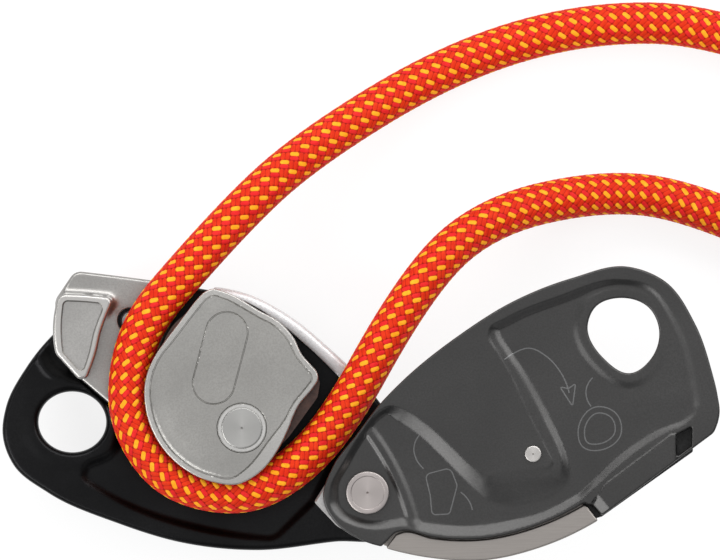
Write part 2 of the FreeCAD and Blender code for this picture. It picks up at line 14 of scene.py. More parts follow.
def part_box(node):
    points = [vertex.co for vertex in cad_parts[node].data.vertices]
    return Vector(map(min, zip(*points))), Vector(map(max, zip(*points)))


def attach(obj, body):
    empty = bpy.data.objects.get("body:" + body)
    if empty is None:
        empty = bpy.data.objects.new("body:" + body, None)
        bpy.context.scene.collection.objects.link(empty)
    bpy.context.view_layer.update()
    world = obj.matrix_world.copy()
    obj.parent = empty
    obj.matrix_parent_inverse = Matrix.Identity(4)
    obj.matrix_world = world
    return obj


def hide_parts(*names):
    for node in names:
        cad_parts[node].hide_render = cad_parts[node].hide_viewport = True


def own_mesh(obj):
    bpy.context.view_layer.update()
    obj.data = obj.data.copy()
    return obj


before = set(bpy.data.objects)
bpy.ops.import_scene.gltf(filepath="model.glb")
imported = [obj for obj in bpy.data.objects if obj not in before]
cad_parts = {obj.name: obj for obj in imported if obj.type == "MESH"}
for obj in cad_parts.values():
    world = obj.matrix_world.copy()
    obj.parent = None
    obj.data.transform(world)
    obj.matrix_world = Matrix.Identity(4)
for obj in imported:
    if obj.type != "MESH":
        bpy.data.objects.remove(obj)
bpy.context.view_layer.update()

MM = 0.001


def node_mm(name):
    """Lowest and highest corners of a CAD node in millimetres."""
    low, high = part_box(name)
    return np.array(low) / MM, np.array(high) / MM


def middle_mm(name):
    low, high = node_mm(name)
    return (low + high) / 2


def heights(name):
    """Lowest and highest z of a CAD node in millimetres."""
    low, high = node_mm(name)
    return low[2], high[2]


AXLE = (0.0, 0.0)
PIVOT = tuple(middle_mm("pivot_rivet")[:2])
SELECTOR = tuple(middle_mm("selector_stud")[:2])
STRIP_RIVET = tuple(middle_mm("wear_strip_rivet")[:2])
PLATE_BACK, PLATE_RIM = heights("fixed_side_plate")
PAN_FLOOR, LIP_TOP = heights("friction_plate")
SHEET_TOP, PAD_TOP = heights("rope_guide_pad")
CAM_FLANGE_LOW, CAM_FLANGE_TOP = heights("cam_top_flange")
COVER_BACK, COVER_HIGH = heights("moving_side_plate")
STRIP_LOW, STRIP_HIGH = heights("wear_strip")
ROPE_R = 5.0
# Between two sheets that lie on each other
GAP = 0.02
ROPE_MID_Z = middle_mm("rope_wrap")[2]
ROPE_FLOOR_Z = middle_mm("brake_end_cap")[2]


# Camera, light and floor -----------------------------------
def show(name, data):
    """A new object in the scene."""
    made = bpy.data.objects.new(name, data)
    bpy.context.scene.collection.objects.link(made)
    return made


def make_camera():
    """Looks straight down on the device from far away."""
    view_centre = Vector((28.1 * MM, 35.2 * MM, 24 * MM))
    view_width = 171.4 * MM
    data = bpy.data.cameras.new("camera")
    data.lens = 800
    data.sensor_width = 36
    data.clip_end = 20
    camera = show("camera", data)
    camera.location = view_centre + Vector((0, 0, view_width * data.lens / data.sensor_width))
    bpy.context.scene.camera = camera


STUDIO_CENTRE = Vector((0.03, 0.02, 0.015))
# Name, bearing and height angle in degrees, width and height in metres, radiance, distance
SOFTBOXES = [
    ("overhead_softbox", 90, 89, 1.3, 1.3, 0.72, 1.15),
    ("lower_left_softbox", 212, 38, 0.85, 0.36, 5.6, 0.95),
    ("upper_right_softbox", 38, 38, 0.85, 0.36, 4.2, 0.95),
    ("back_softbox", 95, 34, 1.0, 0.4, 4.2, 0.95),
    ("left_softbox", 150, 34, 0.5, 0.2, 3.0, 0.95),
    ("front_softbox", 300, 30, 0.5, 0.2, 1.0, 0.95),
]


def make_lights():
    for name, bearing, height_angle, width, height, radiance, distance in SOFTBOXES:
        turn = math.radians(bearing)
        rise = math.radians(height_angle)
        level = math.cos(rise)
        towards = Vector((level * math.cos(turn), level * math.sin(turn), math.sin(rise)))
        data = bpy.data.lights.new(name, "AREA")
        data.shape = "RECTANGLE"
        data.size = width
        data.size_y = height
        data.energy = radiance * math.pi * width * height
        light = show(name, data)
        light.location = STUDIO_CENTRE + distance * towards
        light.rotation_euler = (STUDIO_CENTRE - light.location).to_track_quat("-Z", "Y").to_euler()


def make_world():
    world = bpy.data.worlds.new("studio")
    bpy.context.scene.world = world
    world.use_nodes = True
    background = world.node_tree.nodes["Background"]
    background.inputs["Color"].default_value = (0.96, 0.97, 1.0, 1)
    background.inputs["Strength"].default_value = 0.3


def make_floor():
    bpy.ops.mesh.primitive_plane_add(size=3.0, location=(0.03, 0.03, -0.0002))
    floor = bpy.context.object
    floor.name = "floor"
    material, graph = new_material("floor_paper", (0.2, 0.2, 0.2), 0.8)
    grain = graph.noise(900.0, 2.0)
    graph.bump(grain, 0.03, 0.00005)
    graph.shader.inputs["Emission Color"].default_value = (1, 1, 1, 1)
    graph.shader.inputs["Specular IOR Level"].default_value = 0.1
    graph.shader.inputs["Emission Strength"].default_value = 0.82
    floor.data.materials.append(material)


# Materials -------------------------------------------------
class Graph:
    """A material's node tree, with short names for the few nodes that the materials use."""

    def __init__(self, material):
        material.use_nodes = True
        self.tree = material.node_tree
        self.shader = self.tree.nodes["Principled BSDF"]

    def node(self, kind, **settings):
        made = self.tree.nodes.new(kind)
        for name, value in settings.items():
            setattr(made, name, value)
        return made

    def link(self, source, target):
        self.tree.links.new(source, target)

    def feed(self, socket, value):
        """A socket gets a link from another node's output, or a plain value."""
        if isinstance(value, bpy.types.NodeSocket):
            self.link(value, socket)
        else:
            socket.default_value = value

    def math(self, operation, first, second=0.0):
        made = self.node("ShaderNodeMath", operation=operation)
        self.feed(made.inputs[0], first)
        self.feed(made.inputs[1], second)
        return made.outputs[0]

    def times(self, first, second):
        return self.math("MULTIPLY", first, second)

    def plus(self, first, second):
        return self.math("ADD", first, second)

    def minus(self, first, second):
        return self.math("SUBTRACT", first, second)

    def split(self, vector):
        """The three parts of a vector."""
        made = self.node("ShaderNodeSeparateXYZ")
        self.link(vector, made.inputs["Vector"])
        return made.outputs["X"], made.outputs["Y"], made.outputs["Z"]

    def place(self, scale=(1, 1, 1), turn=0.0, shift=(0, 0, 0)):
        """Object coordinates, turned, moved and stretched."""
        coordinates = self.node("ShaderNodeTexCoord")
        mapping = self.node("ShaderNodeMapping")
        mapping.inputs["Scale"].default_value = scale
        mapping.inputs["Rotation"].default_value = (0, 0, turn)
        mapping.inputs["Location"].default_value = shift
        self.link(coordinates.outputs["Object"], mapping.inputs["Vector"])
        return mapping.outputs["Vector"]

    def noise(self, scale, detail=3.0, roughness=0.55, vector=None):
        made = self.node("ShaderNodeTexNoise")
        made.inputs["Scale"].default_value = scale
        made.inputs["Detail"].default_value = detail
        made.inputs["Roughness"].default_value = roughness
        self.link(vector if vector else self.place(), made.inputs["Vector"])
        return made.outputs["Fac"]

    def spread(self, value, low, high, from_low=0.3, from_high=0.7):
        made = self.node("ShaderNodeMapRange")
        made.inputs["From Min"].default_value = from_low
        made.inputs["From Max"].default_value = from_high
        made.inputs["To Min"].default_value = low
        made.inputs["To Max"].default_value = high
        self.link(value, made.inputs["Value"])
        return made.outputs["Result"]

    def mix(self, amount, first, second):
        made = self.node("ShaderNodeMix", data_type="RGBA")
        self.feed(made.inputs[0], amount)
        for socket, value in ((made.inputs[6], first), (made.inputs[7], second)):
            if isinstance(value, tuple):
                value = (*value, 1.0)
            self.feed(socket, value)
        return made.outputs[2]

    def bump(self, height, strength, distance):
        made = self.node("ShaderNodeBump")
        made.inputs["Strength"].default_value = strength
        made.inputs["Distance"].default_value = distance
        self.link(height, made.inputs["Height"])
        self.link(made.outputs["Normal"], self.shader.inputs["Normal"])

    def colour(self, value):
        self.link(value, self.shader.inputs["Base Color"])

    def roughness(self, value):
        self.link(value, self.shader.inputs["Roughness"])


def new_material(name, colour, roughness, metallic=0.0):
    material = bpy.data.materials.new(name)
    graph = Graph(material)
    graph.shader.inputs["Base Color"].default_value = (*colour, 1.0)
    graph.shader.inputs["Roughness"].default_value = roughness
    graph.shader.inputs["Metallic"].default_value = metallic
    return material, graph


def tinted(colour, share):
    """The colour times a share, at most white."""
    return tuple(min(1.0, c * share) for c in colour)


def blasted_metal(name, colour, roughness, variation=0.12, bump=0.5, painted_highlight_above=None,
                  painted_highlight_share=1.25, metallic=1.0):
    """Bead-blasted metal: fine pits, soft cloudy tone, and a painted highlight: a brighter tone on faces
    above a height in mm.
    """
    material, graph = new_material(name, colour, roughness, metallic)
    clouds = graph.noise(45.0, 4.0)
    pits = graph.noise(2300.0, 2.0, 0.7)
    dark = tinted(colour, 1 - variation)
    light = tinted(colour, 1 + variation)
    tone = graph.mix(graph.spread(clouds, 0.0, 1.0), dark, light)
    tone = graph.mix(graph.spread(pits, 0.0, 0.5, 0.35, 0.65), tone, tinted(colour, 0.7))
    # Painted highlight: faces above the height take a lighter tone, standing in for the light that a
    # raised face catches.
    if painted_highlight_above is not None:
        height = graph.split(graph.place())[2]
        share = graph.spread(height, 0.0, 0.8, (painted_highlight_above - 0.04) * MM, painted_highlight_above * MM)
        tone = graph.mix(share, tone, tinted(colour, painted_highlight_share))
    graph.colour(tone)
    graph.roughness(graph.spread(clouds, roughness - 0.04, roughness + 0.06))
    graph.bump(pits, bump, 0.00003)
    return material


def brushed_metal(name, colour, roughness, turn):
    """Metal with fine lines along one direction."""
    material, graph = new_material(name, colour, roughness, 1.0)
    lines = graph.noise(90.0, 4.0, 0.7, graph.place((1.0, 40.0, 40.0), turn))
    clouds = graph.noise(80.0, 3.0)
    graph.colour(graph.mix(graph.spread(lines, 0.0, 1.0), tinted(colour, 0.86), colour))
    graph.roughness(graph.spread(clouds, roughness - 0.05, roughness + 0.05))
    graph.bump(lines, 0.12, 0.00002)
    return material


RING_PITCH = 0.28


def turned_metal(name, colour, roughness, centre):
    """Faced on a lathe: fine rings and a faint fan of light round a centre in millimetres."""
    material, graph = new_material(name, colour, roughness, 1.0)
    x, y, _ = graph.split(graph.place(shift=(-centre[0] * MM, -centre[1] * MM, 0)))
    radius = graph.math("SQRT", graph.plus(graph.times(x, x), graph.times(y, y)))
    rings = graph.math("SINE", graph.times(radius, 2 * math.pi / (RING_PITCH * MM)))
    fan = graph.math("ABSOLUTE", graph.math("COSINE", graph.math("ARCTAN2", y, x)))
    graph.colour(graph.mix(graph.times(fan, 0.55), colour, tinted(colour, 0.72)))
    graph.roughness(graph.spread(graph.noise(300.0, 3.0), roughness - 0.05, roughness + 0.08))
    graph.bump(rings, 0.18, 0.00002)
    return material


def moulded_plastic(name, colour, roughness=0.5, grain=1400.0):
    """Fine spark-eroded texture on moulded plastic, in slightly uneven tone."""
    material, graph = new_material(name, colour, roughness)
    texture = graph.noise(grain, 3.0, 0.6)
    clouds = graph.noise(70.0, 3.0)
    pale = tuple(c * 1.25 + 0.008 for c in colour)
    graph.colour(graph.mix(graph.spread(clouds, 0.0, 0.8), colour, pale))
    graph.roughness(graph.spread(texture, roughness - 0.08, roughness + 0.1))
    graph.bump(texture, 0.35, 0.00006)
    return material


def core_painted_shade_metal():
    """Cam core with a coarse grip texture; its dark red-brown colour is painted shade with a painted
    reflection of the red rope.
    """
    material, graph = new_material("cam_core_painted_shade", (0.03, 0.012, 0.01), 0.5, 0.3)
    cells = graph.node("ShaderNodeTexVoronoi")
    cells.inputs["Scale"].default_value = 900.0
    graph.link(graph.place(), cells.inputs["Vector"])
    clouds = graph.noise(260.0, 4.0, 0.7)
    share = graph.spread(clouds, 0.0, 1.0)
    # Painted shade and painted reflection: the dark brown tones stand in for the shaded core mirroring
    # the red rope.
    graph.colour(graph.mix(share, (0.012, 0.005, 0.004), (0.06, 0.026, 0.018)))
    graph.bump(cells.outputs["Distance"], 0.8, 0.0002)
    return material


def yarn_pill(graph, across, along, offset, shift):
    """Yarn number, place across the yarn and distance from the core line of its float."""
    yarn = graph.math("ROUND", across)
    sideways = graph.minus(across, yarn)
    pair = graph.math("FLOOR", graph.times(graph.plus(yarn, shift), 0.5))
    lag = graph.plus(graph.minus(graph.times(pair, 2.0), along), offset)
    run = graph.minus(graph.math("FLOORED_MODULO", lag, 4.0), 1.0)
    past = graph.math("MAXIMUM", graph.minus(graph.math("ABSOLUTE", run), 0.5), 0.0)
    squares = graph.plus(graph.times(past, past), graph.times(sideways, sideways))
    return yarn, sideways, graph.math("SQRT", squares)


FIBRES_PER_YARN = 6
# Two hands of yarn: where the floats of a pair start, and which yarns make a pair
HANDS = ((0.5, 0.25), (3.5, 1.25))


def rope_material():
    """Woven sheath: pairs of yarns cross, and one yarn in each pair of one hand is orange.

    The UV map holds the place round the rope and along it, counted in half yarns.
    """
    material, graph = new_material("rope_sheath", (0.75, 0.02, 0.01), 0.58)
    uv = graph.node("ShaderNodeUVMap", uv_map="weave")
    around, along, _ = graph.split(uv.outputs["UV"])
    first = graph.times(graph.plus(around, along), 0.5)
    second = graph.times(graph.minus(around, along), 0.5)
    yarn, side_first, near_first = yarn_pill(graph, first, second, *HANDS[0])
    _, side_second, near_second = yarn_pill(graph, second, first, *HANDS[1])
    on_top = graph.math("LESS_THAN", near_first, near_second)
    marked = graph.math("LESS_THAN", graph.math("FLOORED_MODULO", yarn, 2.0), 0.5)
    fleck = graph.times(on_top, marked)
    edge = graph.math("MINIMUM", near_first, near_second)
    sideways = graph.node("ShaderNodeMix", data_type="FLOAT")
    for socket, value in ((0, on_top), (2, side_second), (3, side_first)):
        graph.link(value, sideways.inputs[socket])
    fibres = graph.math("SINE", graph.times(sideways.outputs[0], 2 * math.pi * FIBRES_PER_YARN))
    clouds = graph.spread(graph.noise(420.0, 3.0), 0.0, 1.0)
    scarlet = graph.mix(clouds, (0.56, 0.016, 0.002), (0.66, 0.034, 0.005))
    crimson = graph.mix(clouds, (0.6, 0.01, 0.011), (0.7, 0.022, 0.02))
    red = graph.mix(on_top, scarlet, crimson)
    body = graph.mix(fleck, red, graph.mix(clouds, (0.84, 0.29, 0.006), (0.93, 0.4, 0.02)))
    # Painted shade: the colour darkens to these tones at the edges of each float, where shade falls in
    # the gaps between the yarns.
    shade = graph.mix(fleck, (0.3, 0.004, 0.001), (0.5, 0.07, 0.002))
    gap = graph.spread(edge, 0.0, 1.0, 0.39, 0.53)
    graph.colour(graph.mix(gap, body, shade))
    graph.shader.inputs["Specular IOR Level"].default_value = 0.12
    graph.bump(fibres, 0.2, 0.00003)
    return material


# Outlines and distances, in millimetres --------------------
def unit(vector):
    return vector / np.linalg.norm(vector)


def heading_between(before, after):
    """Unit heading of a smooth curve where two chords meet."""
    return unit(unit(before) * np.linalg.norm(after) + unit(after) * np.linalg.norm(before))


def end_headings(chords, corner, i):
    """Unit headings at the start and end of run i of an outline."""
    here = unit(chords[i])
    following = (i + 1) % len(chords)
    start = None if corner[i] else heading_between(chords[i - 1], chords[i])
    stop = None if corner[following] else heading_between(chords[i], chords[following])
    if start is None and stop is None:
        return here, here
    if start is None:
        start = 2 * (here @ stop) * here - stop
    if stop is None:
        stop = 2 * (here @ start) * here - start
    return start, stop


def run_points(first, last, start, stop, step):
    """Cubic curve between two points with given headings."""
    length = np.linalg.norm(last - first)
    t = np.linspace(0, 1, max(2, int(length / step)) + 1)[:, None]
    blend = t * t * (3 - 2 * t)
    lead = length * (t * (1 - t) ** 2 * start - t * t * (1 - t) * stop)
    return first + (last - first) * blend + lead


def corner_arc(corner, back, ahead, radius, step):
    """Arc that rounds a corner, and how far from the corner it begins."""
    half = math.acos(np.clip(back @ ahead, -1, 1)) / 2
    reach = radius / math.tan(half)
    centre = corner + unit(back + ahead) * radius / math.sin(half)
    spokes = [corner + back * reach - centre, corner + ahead * reach - centre]
    first, last = (math.atan2(spoke[1], spoke[0]) for spoke in spokes)
    sweep = (last - first + math.pi) % (2 * math.pi) - math.pi
    steps = max(3, int(math.ceil(radius * abs(sweep) / step)))
    angles = first + sweep * np.linspace(0, 1, steps + 1)
    return centre + radius * np.stack([np.cos(angles), np.sin(angles)], 1), reach


def rounded(points, step=0.5):
    """Closed outline: it curves through each (x, y), and has an arc at each (x, y, radius)."""
    places = np.array([p[:2] for p in points], float)
    corner = [len(p) == 3 for p in points]
    count = len(points)
    chords = np.roll(places, -1, axis=0) - places
    headings = [end_headings(chords, corner, i) for i in range(count)]
    runs = [run_points(places[i], places[(i + 1) % count], *headings[i], step) for i in range(count)]
    arcs = {}
    for i in range(count):
        if corner[i]:
            arc, reach = corner_arc(places[i], -headings[i - 1][1], headings[i][0], points[i][2], step)
            arcs[i] = arc
            for k in (i - 1, i):
                run = runs[k]
                runs[k] = run[np.linalg.norm(run - places[i], axis=1) > reach + 0.3 * step]
    outline = []
    for i in range(count):
        outline.append(arcs.get(i, places[i:i + 1]))
        inner = runs[i]
        for end in (places[i], places[(i + 1) % count]):
            inner = inner[np.linalg.norm(inner - end, axis=1) > 1e-6]
        outline.append(inner)
    return np.concatenate(outline)


def rounded_path(points, step=0.4):
    """Open smooth line through a few points."""
    places = np.array(points, float)
    chords = np.diff(places, axis=0)
    first = unit(chords[0])
    last = unit(chords[-1])
    inner = [heading_between(before, after) for before, after in zip(chords[:-1], chords[1:])]
    start = 2 * (first @ inner[0]) * first - inner[0]
    stop = 2 * (last @ inner[-1]) * last - inner[-1]
    headings = [start, *inner, stop]
    runs = [run_points(places[i], places[i + 1], headings[i], headings[i + 1], step)[:-1]
            for i in range(len(chords))]
    return np.concatenate(runs + [places[-1:]])


def ellipse(centre, half_x, half_y, count=96):
    angles = np.linspace(0, 2 * math.pi, count, endpoint=False)
    return np.stack([centre[0] + half_x * np.cos(angles), centre[1] + half_y * np.sin(angles)], 1)


def circle(centre, radius, count=64):
    return ellipse(centre, radius, radius, count)


def capsule(lower, upper, radius, count=40):
    """Pill outline round a straight axis, with a count of points on each end."""
    heading = math.atan2(upper[1] - lower[1], upper[0] - lower[0])
    angles = heading + np.linspace(-math.pi / 2, math.pi / 2, count)
    half_circle = radius * np.stack([np.cos(angles), np.sin(angles)], 1)
    return np.concatenate([upper + half_circle, lower - half_circle])


def edge_distance(points, outline):
    """Distance to a closed outline, positive inside it."""
    a = outline
    b = np.roll(outline, -1, axis=0)
    along = b - a
    best = np.full(len(points), np.inf)
    crossings = np.zeros(len(points), int)
    for start in range(0, len(a), 64):
        seg_a = a[start:start + 64]
        seg_d = along[start:start + 64]
        seg_b = b[start:start + 64]
        rel = points[:, None, :] - seg_a[None]
        t = np.clip((rel * seg_d).sum(2) / (seg_d ** 2).sum(1), 0, 1)
        gap = rel - t[..., None] * seg_d
        best = np.minimum(best, (gap ** 2).sum(2).min(1))
        above = (seg_a[None, :, 1] > points[:, None, 1]) != (seg_b[None, :, 1] > points[:, None, 1])
        rise = np.where(np.abs(seg_d[:, 1]) < 1e-12, 1e-12, seg_d[:, 1])
        cross_x = seg_a[:, 0] + (points[:, None, 1] - seg_a[:, 1]) * seg_d[:, 0] / rise
        crossings += (above & (points[:, None, 0] < cross_x)).sum(1)
    inside = crossings % 2 == 1
    return np.where(inside, 1, -1) * np.sqrt(best)


def path_distance(points, path):
    """Distance to an open run of points."""
    best = np.full(len(points), np.inf)
    for a, b in zip(path[:-1], path[1:]):
        d = b - a
        t = np.clip(((points - a) @ d) / (d @ d), 0, 1)
        gap = points - a - t[:, None] * d
        best = np.minimum(best, (gap ** 2).sum(1))
    return np.sqrt(best)


def ways(points):
    """Way along an open line to each of its points."""
    steps = np.linalg.norm(np.diff(points, axis=0), axis=1)
    return np.concatenate([[0], np.cumsum(steps)])


def respaced(points, count):
    """An open line with a count of points an equal way apart."""
    along = ways(points)
    wanted = np.linspace(0, along[-1], count)
    return np.stack([np.interp(wanted, along, points[:, k]) for k in range(points.shape[1])], 1)


def closed(loop):
    return np.concatenate([loop, loop[:1]])


def dense(loop, step=0.3):
    """Closed loop with points an equal way apart."""
    ring = closed(loop)
    return respaced(ring, int(ways(ring)[-1] / step) + 1)[:-1]


def smooth(value, low, high):
    t = np.clip((value - low) / (high - low), 0, 1)
    return t * t * (3 - 2 * t)


def ramp(value, low, high, soft=0.2):
    """Straight slope from 0 to 1 whose two creases are slightly rounded."""
    t = np.clip((value - low) / (high - low), 0, 1)
    middle = t - soft / 2
    foot = t * t / (2 * soft)
    crest = 1 - soft - (1 - t) ** 2 / (2 * soft)
    return np.where(t < soft, foot, np.where(t > 1 - soft, crest, middle)) / (1 - soft)


def edge_drop(distance, radius):
    """How far a rounded edge lies below the face at a distance in from the rim."""
    t = np.clip(1 - distance / radius, 0, 1)
    return radius * (1 - np.sqrt(np.clip(1 - t * t, 0, 1)))


# Meshes ----------------------------------------------------
def mesh_object(name, vertices, faces, material, sharp=40.0):
    """Mesh from millimetre vertices, smooth except at edges sharper than an angle."""
    mesh = bpy.data.meshes.new(name)
    mesh.from_pydata([tuple(v) for v in np.asarray(vertices) * MM], [], faces)
    mesh.validate()
    work = bmesh.new()
    work.from_mesh(mesh)
    bmesh.ops.recalc_face_normals(work, faces=work.faces)
    for face in work.faces:
        face.smooth = True
    limit = math.radians(sharp)
    for edge in work.edges:
        if len(edge.link_faces) == 2 and edge.calc_face_angle(0) > limit:
            edge.smooth = False
    work.to_mesh(mesh)
    work.free()
    mesh.materials.append(material)
    return show(name, mesh)


def triangulate(loops, inner=()):
    """Triangles between closed loops, outline first and holes after, through extra inner points."""
    points = [p for loop in loops for p in loop] + list(inner)
    edges = []
    start = 0
    for loop in loops:
        count = len(loop)
        edges += [(start + i, start + (i + 1) % count) for i in range(count)]
        start += count
    vectors = [Vector((p[0], p[1])) for p in points]
    out_points, _, faces, _, _, _ = geometry.delaunay_2d_cdt(vectors, edges, [], 1, 1e-5)
    out = np.array([tuple(p) for p in out_points])
    faces = np.array(faces)
    centres = out[faces].mean(axis=1)
    keep = np.ones(len(faces), bool)
    for hole in loops[1:]:
        keep &= edge_distance(centres, np.array(hole)) < 0
    return out, faces[keep]


def shrink(loop, distance):
    """A loop moved inwards, or outwards for a negative distance, along its own normals."""
    before = np.roll(loop, 1, axis=0)
    after = np.roll(loop, -1, axis=0)
    tangent = after - before
    tangent /= np.linalg.norm(tangent, axis=1)[:, None]
    normal = np.stack([-tangent[:, 1], tangent[:, 0]], 1)
    x, y = loop[:, 0], loop[:, 1]
    area = 0.5 * np.sum(x * np.roll(y, -1) - np.roll(x, -1) * y)
    return loop + normal * distance * np.sign(area)


def grid_points(loops, spacing, clearance):
    """Staggered grid inside the outline and outside the holes."""
    low = loops[0].min(axis=0)
    high = loops[0].max(axis=0)
    xs = np.arange(low[0], high[0], spacing)
    ys = np.arange(low[1], high[1], spacing * 0.866)
    grid = np.array([(x + (j % 2) * spacing / 2, y) for j, y in enumerate(ys) for x in xs])
    return inside_all(grid, loops, clearance)


def apart(points, others, distance):
    """The points that are not close to any of the others."""
    tree = kdtree.KDTree(len(others))
    for index, other in enumerate(others):
        tree.insert((other[0], other[1], 0), index)
    tree.balance()
    keep = [tree.find((p[0], p[1], 0))[2] > distance for p in points]
    return points[np.array(keep, bool)]


def inside_all(points, loops, clearance):
    keep = edge_distance(points, loops[0]) > clearance
    for hole in loops[1:]:
        keep &= edge_distance(points, hole) < -clearance
    return points[keep]


def level_of(height, points):
    """Heights at points, from a function of the points or from one number."""
    return height(points) if callable(height) else np.full(len(points), height)


def plate(name, loops, top, bottom, material, edge, spacing, hole_edge=0.0, rings=5, creases=()):
    """Solid plate whose upper face follows its height and rolls over at every edge.

    Creases are lines that get their own vertices, so that a bend in the height stays crisp.
    """
    extra = []
    for index, loop in enumerate(loops):
        radius = edge if index == 0 else hole_edge
        side = 1 if index == 0 else -1
        for k in range(1, rings + 1):
            depth = radius * (1 - math.cos(math.pi / 2 * k / rings))
            ring = shrink(loop, side * depth)
            extra.append(inside_all(ring, loops, depth * 0.8))
    margin = max(edge, hole_edge) + spacing * 0.4
    grid = grid_points(loops, spacing, margin)
    if creases:
        lines = inside_all(np.concatenate([dense(line) for line in creases]), loops, margin)
        grid = apart(grid, lines, spacing * 0.5)
        extra.append(lines)
    extra.append(grid)
    inner = np.concatenate(extra)
    points, faces = triangulate(loops, inner)
    height = level_of(top, points) - edge_drop(edge_distance(points, loops[0]), edge)
    for hole in loops[1:]:
        height = height - edge_drop(-edge_distance(points, hole), hole_edge)
    count = len(points)
    upper = np.column_stack([points, height])
    lower = np.column_stack([points, level_of(bottom, points)])
    vertices = np.concatenate([upper, lower])
    triangles = [tuple(f) for f in faces] + [tuple(count + i for i in reversed(f)) for f in faces]
    start = 0
    for loop in loops:
        n = len(loop)
        for i in range(n):
            a, b = start + i, start + (i + 1) % n
            triangles.append((a, b, count + b, count + a))
        start += n
    return mesh_object(name, vertices, triangles, material)


def revolve(name, start, axes, profile, material, count, ring=False):
    """Turned piece from (reach, radius) pairs; its axes point across, up and along.

    A ring's profile closes on itself. The others are solid, with a flat face at each end.
    """
    across, up, along = (np.array(axis, float) for axis in axes)
    angles = np.linspace(0, 2 * math.pi, count, endpoint=False)
    spokes = np.cos(angles)[:, None] * across + np.sin(angles)[:, None] * up
    start = np.array(start, float)
    vertices = np.concatenate([start + reach * along + radius * spokes for reach, radius in profile])
    rows = len(profile)
    faces = []
    for k in range(rows if ring else rows - 1):
        here = k * count
        there = (k + 1) % rows * count
        for i in range(count):
            j = (i + 1) % count
            faces.append((here + i, here + j, there + j, there + i))
    if not ring:
        faces += [tuple(range(count)), tuple(range((rows - 1) * count, rows * count))]
    return mesh_object(name, vertices, faces, material)


UPRIGHT = ((1, 0, 0), (0, 1, 0), (0, 0, 1))
CENTRE_R = 1e-4


def ribbon(name, paths, width, height, material):
    """Thin flat strips laid on a surface along open lines."""
    vertices = []
    faces = []
    for path in paths:
        heading = np.gradient(path, axis=0)
        heading /= np.linalg.norm(heading, axis=1)[:, None]
        across = np.stack([-heading[:, 1], heading[:, 0]], 1) * width / 2
        start = len(vertices)
        for side in (-1, 0, 1):
            edge = path + side * across
            level = height(edge) + (0.03 if side == 0 else 0.0)
            vertices.extend(np.column_stack([edge, level]))
        count = len(path)
        for row in (0, 1):
            for i in range(count - 1):
                a = start + row * count + i
                faces.append((a, a + 1, a + count + 1, a + count))
    return mesh_object(name, vertices, faces, material)


def paint_faces(piece, material, chosen):
    """A second material on the faces whose centres, seen from above in millimetres, are chosen."""
    piece.data.materials.append(material)
    centres = np.array([tuple(face.center)[:2] for face in piece.data.polygons]) / MM
    piece.data.polygons.foreach_set("material_index", chosen(centres).astype(np.int32))


def place(piece, body, slot, *nodes):
    """The piece rides on a body and stands for any CAD nodes named, which are hidden. The slot is not
    used.
    """
    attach(piece, body)
    if nodes:
        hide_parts(*nodes)


# Root body: fixed side plate, friction plate, pad ----------
FIXED_OUTLINE = [
    (-39, 36.2, 4), (-43.6, 29.6, 3), (-44, 23.4, 0.8), (-51.6, 14.3), (-56.4, 5),
    (-57.2, -2), (-54.6, -9), (-46.4, -15.6), (-30, -22.8), (-14, -27.6), (4, -29.3),
    (22, -27.3), (36, -25.9), (41.2, -20), (40, -9), (24, 14.8, 2), (14.2, 23.6),
    (7.4, 28.2), (0.8, 31), (-7, 32.6),
]
FIXED_HOLE = ellipse((-40.6, 1.3), 8.1, 7.25)
FIXED_PAN = [
    (-60, 40, 1), (-48.8, 22.4, 1), (-47.6, 18.4), (-45.4, 14.4), (-41, 11.4), (-34.6, 9.4),
    (-30.4, 5.6), (-29.4, 0.6), (-31.6, -5.6), (-38, -9.4), (-38.6, -12.8, 3), (-28, -19),
    (-10, -25), (8, -27.4, 5), (17.4, -18.4, 2), (22.3, -9.4, 3), (38, 2, 1),
    (38, 40, 1),
]
FRICTION_OUTLINE = [
    (-40, 37.4, 3), (-44.7, 30.4, 3.6), (-44.2, 18, 2.5), (-38.2, 11, 1.5), (-31.4, 5.2, 2),
    (-21, 4.6, 2), (-21, 14, 4), (-15.4, 28.4, 2), (-15.6, 34.3, 1), (-22.2, 35.2),
]
LIP_OUTLINE = [
    (-7.4, 33.6, 0.6), (-6.6, 32.3, 0.4), (-0.7, 30.6), (7.5, 26), (14.6, 20.2), (24, 11, 0.8),
    (26.4, 13.8, 0.8), (19.8, 19.8), (14.4, 24.4), (8.3, 28.5), (1.2, 31.9),
]
LIP_OUTER = [(-7.4, 33.6), (1.2, 31.9), (8.3, 28.5), (14.4, 24.4), (19.8, 19.8), (26.4, 13.8)]
LIP_CROWN = 1.9
PAD_OUTLINE = [
    (-43.6, 31.9, 2.4), (-45, 25), (-44.4, 17.6, 2.2), (-37.8, 10.2, 1.8), (-34.9, 17.4),
    (-33.6, 22.9), (-30.3, 30.9, 1.4), (-37, 31.7),
]
PAD_FIELD = [
    (-42.6, 30.4, 1.3), (-43.2, 25), (-42.8, 17.8, 1.6), (-38, 12.4, 1.3), (-36.2, 17.8),
    (-35, 22.9), (-32.2, 29.6, 1.6), (-37, 30.2),
]


